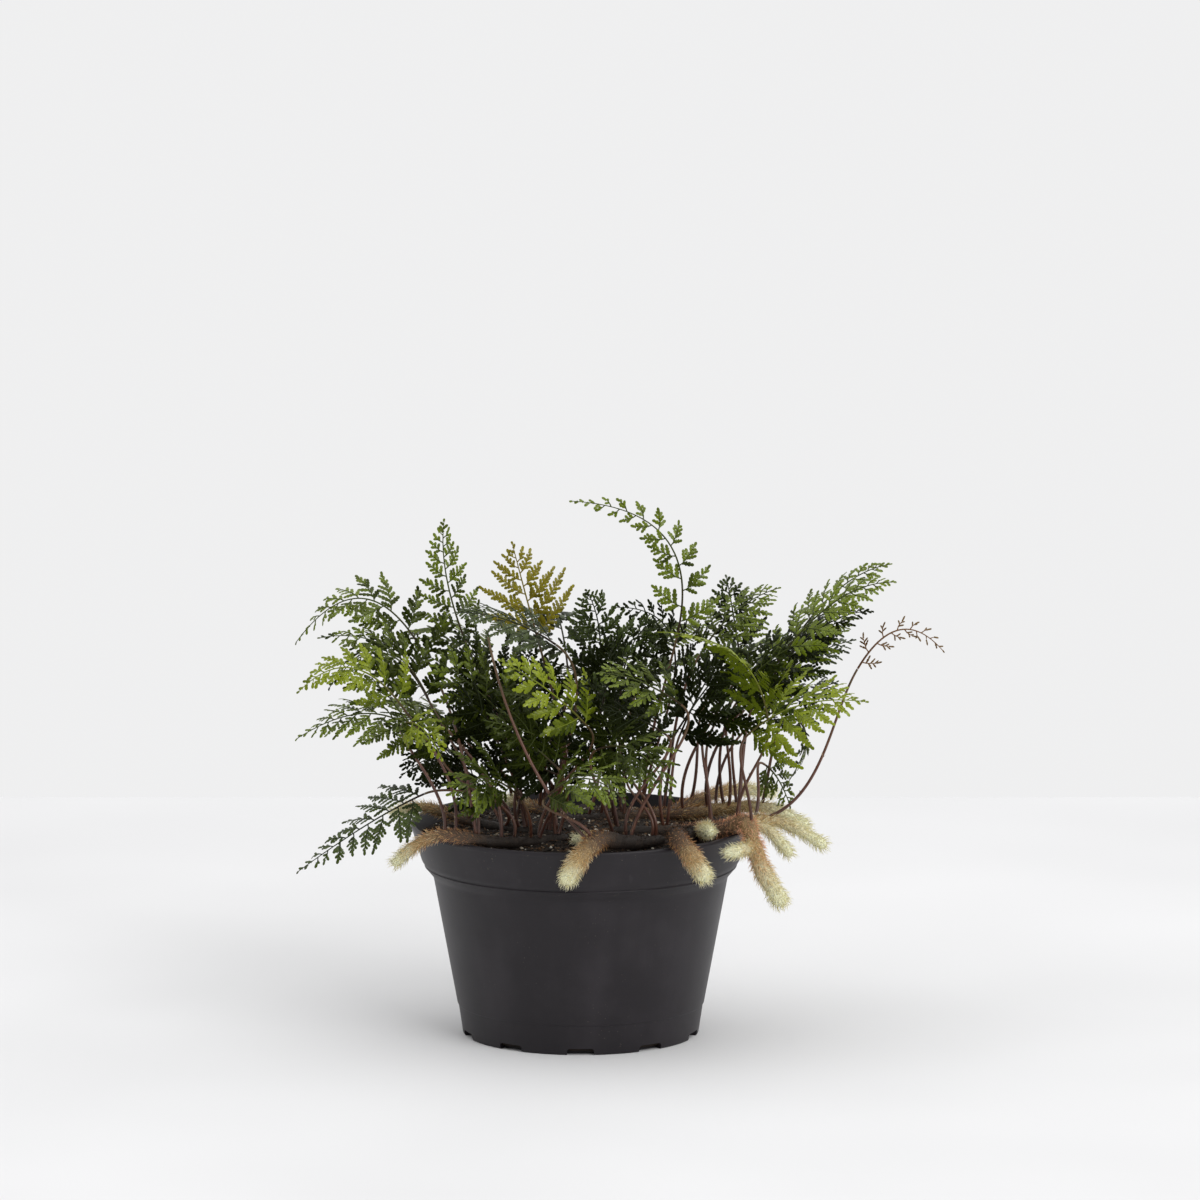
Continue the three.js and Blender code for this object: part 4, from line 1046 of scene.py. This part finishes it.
RIB_GREEN = 0.35  # how green a side rib is where it leaves the midrib
# A leaflet's greatest half width: a share of the room between the ribs, a share of the rib's
# length and a plain limit.
FILL, BROADEST, WIDEST = 0.59, 0.37, 0.0060
LEAFLET_ANGLES = (56, 34)  # to the rib, at its foot and at its tip
# Along a rib: the share of its leaflet's length and the room before the next, the room left
# free at both ends, and how much the lengths vary.
LEAFLET_SHARE, LEAFLET_ROOM, FIRST_ROOM, END_ROOM = 0.15, 0.0005, 0.0014, 0.0012
LEAFLET_LEAST, LEAFLET_SIZES, LAST_LEAFLET = 0.0012, (0.88, 1.1), 0.0030
GROWTH_START, GROWTH_POWERS = 0.8, (1.3, 0.85)  # shorter at the rib's foot and towards its tip
TIP_FROM, TIP_LONGEST, TIP_LESS, TIP_ANGLE = 0.02, 0.0040, 0.0024, 40  # at the midrib's own tip
LEAFLET_WIDEN, LEAFLET_WIDTH = 0.50, 0.0018  # width: this share of the length, and this more
LEAFLET_KINDS = [0.0050, 0.0032]  # longer ones have more lobes
LEAFLET_LOBES = [3, 2, 1]
LEAFLET_FEET = {3: 0.65, 2: 0.75, 1: 0.85}  # width at the foot, as a share of the whole width
LEAFLET_THICK, LEAFLET_FOLD, LEAFLET_ARCH, LEAFLET_DIP = 0.05, 0.24, 0.16, 0.02
LEAFLET_HALVES, EDGE_AT = (0.25, 0.20), 0.24  # half widths, and where the edge is for colours
SHOULDER, TAPER, TAPER_POWERS = 0.35, 0.70, (2.6, 0.7)  # the widest place, and how it narrows
LOBES_FROM, LOBES_LONG = 0.12, 0.84
LOBE = [(0.20, 0.86), (0.66, 1.10), (0.92, 1.02)]  # shares of a lobe's length and of the width
CLEFT = (1.0, 0.55)  # and between two lobes
FOOT_WIDTH, FOOT_CLEAR = 0.3, 0.07
KEEL_BACK, KEEL_ROOM, KEEL_STEP = 0.55, 0.02, 0.001  # how the veins run back to the middle
LEAFLET_SHARP = math.radians(65)
ROLL, SWAY, TILT = 22, 0.09, 0.24  # how far ribs turn and bend, and leaflets turn, at random
# Painted light and shade: a frond's share of its lit colour, less inside, fixed for lime ones.
SHADE_LOW, SHADE_SPAN, SHADE_STRAY = 0.160, 0.056, 0.3  # painted lighter the higher the frond is
EXPOSED, EXPOSED_SPAN = 0.084, 0.065  # and painted lighter the farther out its tip is
SHADE_INSIDE, SHADE_YOUNG = -0.7, 0.70
TIP_LIGHT, LIGHT_FROM, RIB_LIGHT, LEAFLET_STRAY = 0.7, (0.4, 0.3), 0.2, 0.3  # paler at the tips
LEAF_CLOUDS, LEAF_GRAIN, LEAF_RELIEF = 160, 2400, 0.0003
LEAF_SHEEN, LEAF_GLOSS, LEAF_GLINT = 0.65, 0.08, (0.9, 1.0, 0.6, 1)
SIDE_VEINS, VEIN_SLANT = 5, 0.35  # to a leaflet, and how far they run forwards
RIB_MOTTLE = 500
# Upper side in painted shade and in painted light, which also give the paler green of the tips;
# underside, young edge and share of light let through; ribs below and above; breadth.
LEAVES = {
    "dark": [(0.006, 0.0090, 0.0010), (0.054, 0.084, 0.007), (0.026, 0.038, 0.005),
             (0.035, 0.050, 0.003), 0.08, (0.022, 0.011, 0.006), (0.013, 0.020, 0.003), 1.05],
    "mid": [(0.011, 0.0175, 0.0014), (0.180, 0.245, 0.008), (0.075, 0.095, 0.010),
            (0.17, 0.22, 0.006), 0.18, (0.032, 0.018, 0.008), (0.044, 0.060, 0.006), 1.05],
    "lime": [(0.028, 0.048, 0.003), (0.310, 0.380, 0.008), (0.150, 0.200, 0.012),
             (0.36, 0.43, 0.010), 0.25, (0.08, 0.06, 0.02), (0.16, 0.20, 0.010), 1.15],
    "bronze": [(0.120, 0.105, 0.003), (0.330, 0.290, 0.010), (0.230, 0.200, 0.020),
               (0.38, 0.30, 0.02), 0.22, (0.06, 0.028, 0.012), (0.18, 0.14, 0.01), 1.05],
    "young": [(0.110, 0.055, 0.016), (0.230, 0.135, 0.040), (0.230, 0.150, 0.070),
              (0.32, 0.20, 0.06), 0.2, (0.10, 0.045, 0.02), (0.16, 0.08, 0.03), 0.6],
}


def leaflet_shape(name, lobes, mirrored):
    """A leaflet of length 1 along +X: wedge-shaped, its edge cut into blunt lobes, closed all
    round, fuller on the side that looks to the rib's tip."""
    foot = LEAFLET_FEET[lobes]

    def width(x, half):
        wedge = foot + (1 - foot) * min(1, x / SHOULDER)
        narrowed = 1 - max(0, (x - SHOULDER) / TAPER) ** TAPER_POWERS[0]
        return half * wedge * max(0, narrowed) ** TAPER_POWERS[1]

    edge = [(FOOT_CLEAR, 1)]
    for j in range(lobes):
        low = LOBES_FROM + LOBES_LONG * j / lobes
        for part, share in LOBE + [CLEFT] * (j < lobes - 1):
            edge.append((low + LOBES_LONG / lobes * part, share))
    sides = [
        [(0.0, FOOT_WIDTH * foot), *((x, share * width(x, half)) for x, share in edge)]
        for half in LEAFLET_HALVES
    ]
    vertices, faces, marks = [], [], []

    def put(x, y, z, up):
        vertices.append((x, -y if mirrored else y, z))
        marks.append((x, y / EDGE_AT, up))
        return len(vertices) - 1

    rims = [
        [put(x, w * s, -LEAFLET_FOLD * w - LEAFLET_ARCH * x * x, 0) for x, w in side]
        for side, s in zip(sides, (1, -1))
    ]
    tip = put(1.0, 0, -LEAFLET_DIP - LEAFLET_ARCH, 0)
    keel = [max(0.0, x - KEEL_BACK * w - KEEL_ROOM) for x, w in sides[0]]
    keel = [max(keel[:k + 1]) + KEEL_STEP * k for k in range(len(keel))]
    tops = [put(x, 0, LEAFLET_THICK / 2 - LEAFLET_ARCH * x * x, 1) for x in keel]
    unders = [put(x, 0, -LEAFLET_THICK / 2 - LEAFLET_ARCH * x * x, -1) for x in keel]
    for rim, s in zip(rims, (1, -1)):
        for middle, up in ((tops, 1), (unders, -1)):
            strip = [[middle[k], rim[k], rim[k + 1], middle[k + 1]] for k in range(len(rim) - 1)]
            strip.append([middle[-1], rim[-1], tip])
            faces += strip if s * up < 0 else [face[::-1] for face in strip]
    faces += [[tops[0], rims[0][0], unders[0]], [tops[0], unders[0], rims[1][0]]]
    if mirrored:
        faces = [face[::-1] for face in faces]
    mesh = bpy.data.meshes.new(name)
    mesh.from_pydata(vertices, [], faces)
    mesh.polygons.foreach_set("use_smooth", [True] * len(faces))
    mesh.set_sharp_from_angle(angle=LEAFLET_SHARP)
    for axis, values in zip("xyz", zip(*marks)):
        keep(mesh, "leaf_" + axis, values)
    return bpy.data.objects.new(name, mesh)


def leaflet_shapes():
    shapes = bpy.data.collections.new("leaflet_shapes")
    bpy.context.scene.collection.children.link(shapes)
    for kind, lobes in enumerate(LEAFLET_LOBES):
        for mirrored in (0, 1):
            shapes.objects.link(leaflet_shape(f"leaflet_{kind}_{mirrored}", lobes, mirrored))
    return shapes


def station(place, radius, along, tone, ahead, face, hand, angle, grow):
    """A point on a rib; where grow is more than 0, a leaflet as long as that stands on it."""
    kind = sum(grow < least for least in LEAFLET_KINDS)
    return {
        "place": place, "radius": radius, "along": along, "tone": tone, "ahead": ahead,
        "face": face, "hand": hand, "angle": math.radians(angle), "grow": grow,
        "kind": kind * 2.0 + (hand < 0),
    }


def frond_lines(row, draw, painted_light):
    """The midrib and side ribs of one blade, with the places of its leaflets."""
    _, _, half, pairs, _, neck, mid, tip, face, *_ = row
    at, ahead = midrib(neck, mid, tip)
    marks = [at(i / MIDRIB_STEPS) for i in range(MIDRIB_STEPS + 1)]
    length = sum((far - near).length for near, far in zip(marks, marks[1:]))
    face, half, pairs = Vector(face), half * MM, round(pairs * RIBS_MORE)

    def out_of(way):
        return way.cross(face).normalized().cross(way)

    def spot(k):
        return RIB_FIRST + RIB_SPAN * (1 - (1 - min(k, pairs) / pairs) ** RIB_CROWDING)

    lines, spine = [], []
    last = spot(pairs - 1 + RIB_OFFSET) + TIP_FROM
    count = math.ceil(length / MIDRIB_STEP)
    for i in range(count + 1):
        t = i / count
        grow = 0 if t < last else TIP_LONGEST - TIP_LESS * (t - last) / (1 - last)
        spine.append(station(
            at(t), between(MIDRIB_RADII, t), t, painted_light, ahead(t), out_of(ahead(t)),
            1 - 2.0 * (i % 2), 0 if i == count else TIP_ANGLE, grow,
        ))
    lines.append(spine)
    for side in (-1, 1):
        for i in range(pairs):
            k = i + (0 if side > 0 else RIB_OFFSET)
            q = k / pairs
            stray = draw.uniform(-RIB_STRAY, RIB_STRAY)
            angle = math.radians(RIB_ANGLE - RIB_CLOSING * q + stray)
            pitch = (spot(k + 1) - spot(k)) * length
            reach = (half * (1 - q) ** RIB_TAPER + RIB_LEAST) * draw.uniform(*RIB_REACHES)
            wide = min(FILL * pitch * math.sin(angle), BROADEST * reach, WIDEST)
            start, way = at(spot(k)), ahead(spot(k))
            across, up = way.cross(face).normalized(), out_of(way)
            roll = Matrix.Rotation(math.radians(draw.uniform(-ROLL, ROLL)), 3, way)
            droop = RIB_DROOP + draw.uniform(-SWAY, SWAY)
            turn = draw.uniform(-SWAY, SWAY) + RIB_TURN
            # The rib's tone: the frond's painted light, shifted at random and paler towards the
            # tip.
            tone = painted_light + draw.uniform(-RIB_LIGHT, RIB_LIGHT) + TIP_LIGHT * (q - LIGHT_FROM[0])

            def rib_at(t):
                forward = math.cos(angle) * t * reach + turn * reach * t * t
                outward = min(RIB_EDGE, t * reach) + math.sin(angle) * t * reach
                return (start + way * forward + across * side * outward
                        - up * droop * reach * t * t)

            def rib_way(t):
                """The direction there, and the way that the upper side looks."""
                here = (rib_at(min(t + 0.02, 1)) - rib_at(max(t - 0.02, 0.01))).normalized()
                return here, (tilted - here * tilted.dot(here)).normalized()

            line, s, hand = [], 0.0, 1.0 if draw.random() < 0.5 else -1.0
            tilted = roll @ up
            longest = wide / math.sin(math.radians(LEAFLET_ANGLES[0]))
            while s < reach - END_ROOM:
                t = s / reach
                grow = longest * min(1, GROWTH_START + t)
                grow = grow * (1 - t**GROWTH_POWERS[0]) ** GROWTH_POWERS[1] + LEAFLET_LEAST
                first = s < END_ROOM
                leaflet = 0.0 if first else grow * draw.uniform(*LEAFLET_SIZES)
                line.append(station(
                    rib_at(t), between(RIB_RADII, t), RIB_GREEN + (1 - RIB_GREEN) * t,
                    tone + TIP_LIGHT * (t - LIGHT_FROM[1]), *rib_way(max(t, 0.03)), hand,
                    between(LEAFLET_ANGLES, t), leaflet,
                ))
                s += FIRST_ROOM if first else LEAFLET_SHARE * grow + LEAFLET_ROOM
                hand = -hand
            line.append(station(
                rib_at(min(1, max(s, reach - END_ROOM) / reach)), RIB_RADII[1], 1.0, tone,
                *rib_way(0.98), 1.0, 0.0, LAST_LEAFLET,
            ))
            lines.append(line)
    return lines


def frond_tree():
    nodes, given = new_tree("frond", {
        "Leaflets": "Collection", "Facets": "Int", "Breadth": "Float", "Widen": "Float",
        "Width": "Float", "Tilt": "Float", "Seed": "Int", "Leaf": "Material", "Rib": "Material",
    })
    ribs = tube(nodes, curves(nodes, given["Geometry"]), given["Facets"])
    ahead, face = (attribute(nodes, name, "FLOAT_VECTOR") for name in ("ahead", "face"))
    angle, hand, grow = (attribute(nodes, name) for name in ("angle", "hand", "grow"))
    right = nodes.vector("CROSS_PRODUCT", ahead, face)
    out = nodes.vector(
        "ADD", nodes.vector("MULTIPLY", ahead, nodes.math("COSINE", angle)),
        nodes.vector("MULTIPLY", right, nodes.math("SINE", angle) * hand),
    )
    loose = nodes.vector("MULTIPLY", random_vector(nodes, (-1,) * 3, (1,) * 3, 17), given["Tilt"])
    rotation = nodes.node("FunctionNodeRotateRotation", {"rotation_space": "LOCAL"}, {
        0: facing(nodes, out, face, ("X", "Z")),
        1: nodes.node("FunctionNodeEulerToRotation", None, {0: loose}),
    })
    wide = (grow * given["Widen"] + given["Width"]) * given["Breadth"]
    leaflets = nodes.node("GeometryNodeInstanceOnPoints", None, {
        "Points": given["Geometry"], "Selection": grow.over(0), "Pick Instance": True,
        "Instance": templates(nodes, given["Leaflets"]),
        "Instance Index": attribute(nodes, "kind"), "Rotation": rotation,
        "Scale": nodes.node("ShaderNodeCombineXYZ", None, {"X": grow, "Y": wide, "Z": grow}),
    })
    stray = random_value(nodes, -LEAFLET_STRAY, LEAFLET_STRAY, given["Seed"])
    leaflets = toned(nodes, leaflets, attribute(nodes, "tone") + stray)
    return close_tree(nodes, (leaflets, given["Leaf"]), (ribs, given["Rib"]))


def leaf_material(name, shaded, lit, under, edge, glow):
    material, place = new_material("leaf_" + name)
    along, across, side = (place.named("leaf_" + axis) for axis in "xyz")
    clouds = place.noise(LEAF_CLOUDS, 3)
    # Painted light and shade: tone blends the shaded and lit colours and fades the coat's sheen.
    tone = place.named("tone") * 0.7 + clouds * 0.5 - 0.1
    wide = abs(across)
    side_veins = abs((along - wide * VEIN_SLANT) * SIDE_VEINS % 1 - 0.5).ramp(0.14, 0.03)
    side_veins = side_veins * wide.ramp(1.2, 0.5)
    veins = wide.math("MAXIMUM", side_veins * 0.7, wide.ramp(0.12, 0.03))
    upper = (veins * 0.3).tint(tone.ramp(0.2, 0.95).tint(shaded, lit), edge)
    upper = (wide.ramp(0.7, 1.1) * 0.35).tint(upper, edge)
    grain = place.noise(LEAF_GRAIN, 2)
    shader = surface(place, {
        "Base Color": side.ramp(-0.02, -0.3).tint(upper, under),
        "Roughness": clouds * 0.16 + 0.34,
        "Specular IOR Level": LEAF_GLOSS,
        "Specular Tint": LEAF_GLINT,
        "Coat Weight": tone.ramp(0.0, 0.9) * side.ramp(-0.2, 0.0) * LEAF_SHEEN,
        "Coat Roughness": 0.2,
        "Normal": relief(grain * 0.3 - veins * 0.7, LEAF_RELIEF),
    })
    return finish(material, glowing(shader, edge, glow))


def rib_material(name, low, high):
    material, place = new_material("rib_" + name)
    mottle = place.noise(RIB_MOTTLE, 2)
    green = (place.named("along") + (mottle - 0.5) * 0.3).ramp(0.0, 0.45)
    return finish(material, coated(place, green.tint(low, high), mottle, 0.35, 0.2, 0.2))


fronds, leaflets = frond_tree(), leaflet_shapes()
finishes = {
    name: (leaf_material(name, *colours[:5]), rib_material(name, *colours[5:7]), colours[7])
    for name, colours in LEAVES.items()
}
for number, (name, row) in enumerate(ALL_FRONDS.items()):
    draw = random.Random(200 + number)
    # Painted light: more lit colour the higher a frond is and the farther out its tip reaches.
    painted_light = max(
        ((row[5][2] + row[7][2]) / 2 * MM - SHADE_LOW) / SHADE_SPAN,
        (Vector(row[7][:2]).length * MM - EXPOSED) / EXPOSED_SPAN,
    )
    painted_light = min(1.0, painted_light) + draw.uniform(-SHADE_STRAY, SHADE_STRAY)
    painted_light += 0 if name in FRONDS else SHADE_INSIDE
    painted_light = SHADE_YOUNG if row[1] == "lime" else painted_light
    blade = lines_object("frond_" + name + "_blade", frond_lines(row, draw, painted_light))
    leaf, rib, breadth = finishes[row[1]]
    grown(blade, fronds, {
        "Leaflets": leaflets, "Facets": RIB_FACETS, "Breadth": breadth, "Widen": LEAFLET_WIDEN,
        "Width": LEAFLET_WIDTH, "Tilt": TILT, "Seed": number, "Leaf": leaf, "Rib": rib,
    })
    place_piece(blade, "leaf_" + row[1], *["frond_" + name] if name in FRONDS else [])
drop(leaflets)


# ---- Studio -------------------------------------------------------------------------
# A pale table top that ends some way behind the pot, an even pale surround, and one soft
# light from the front right. The camera looks slightly down on the plant from far off.
FLOOR_NEAR, FLOOR_FAR, FLOOR_SIDE = -6.0, 0.632, 4.0
FLOOR_GREY, FLOOR_PALE, FLOOR_CLOUDS = (0.640, 0.640, 0.643), (0.795, 0.795, 0.80), 3
SURROUND = (0.866, 0.866, 0.870)
# How much brighter it is above and darker round the camera, and between which heights and
# distances this comes in, on a sphere of radius 1.
OVERHEAD, SHADE, OVERHEAD_FROM, SHADE_FROM = 0.6, 0.6, (0.35, 0.95), (0.1, 0.9)
LIGHT_WAY, LIGHT_FAR, LIGHT_SIZE, LIGHT_POWER = Vector((0.90, -1.18, 1.0)), 8.0, 4.8, 290
CAMERA_PLACE, CAMERA_DIP, CAMERA_LENS, CAMERA_FILM = (0.00937, -3.9179, 0.8332), 9, 246, 36
CAMERA_REACH = 50

material, place = new_material("studio_floor")
cloud = place.noise(FLOOR_CLOUDS, 2)
finish(material, coated(place, cloud.tint(FLOOR_GREY, FLOOR_PALE), cloud, 0.7, 0.05, 0.1))
table_top = new_object("studio_floor", [
    (-FLOOR_SIDE, FLOOR_NEAR, 0), (FLOOR_SIDE, FLOOR_NEAR, 0),
    (FLOOR_SIDE, FLOOR_FAR, 0), (-FLOOR_SIDE, FLOOR_FAR, 0),
], [[0, 1, 2, 3]], material)

world = bpy.data.worlds.new("studio_surround")
world.use_nodes = True
world.node_tree.nodes.clear()
way = Field(world.node_tree).node("ShaderNodeTexCoord", None, None, "Generated")
level = 1 + way.axis("Z").ramp(*OVERHEAD_FROM) * OVERHEAD
level = level - (0 - way.axis("Y")).ramp(*SHADE_FROM) * SHADE
light = way.node("ShaderNodeBackground", None, {"Color": paint(SURROUND), "Strength": level})
way.node("ShaderNodeOutputWorld", None, {"Surface": light})
bpy.context.scene.world = world

lamp = bpy.data.lights.new("softbox", "AREA")
lamp.shape, lamp.size, lamp.energy = "SQUARE", LIGHT_SIZE, LIGHT_POWER
softbox = bpy.data.objects.new("softbox", lamp)
softbox.location = LIGHT_WAY.normalized() * LIGHT_FAR
softbox.rotation_euler = LIGHT_WAY.to_track_quat("Z", "Y").to_euler()
bpy.context.scene.collection.objects.link(softbox)

camera = bpy.data.objects.new("camera", bpy.data.cameras.new("camera"))
camera.location = CAMERA_PLACE
camera.rotation_euler = (math.radians(90 - CAMERA_DIP), 0, 0)
camera.data.lens, camera.data.sensor_width = CAMERA_LENS, CAMERA_FILM
camera.data.clip_end = CAMERA_REACH
bpy.context.scene.collection.objects.link(camera)
bpy.context.scene.camera = camera
bpy.context.scene.view_settings.view_transform = "Standard"
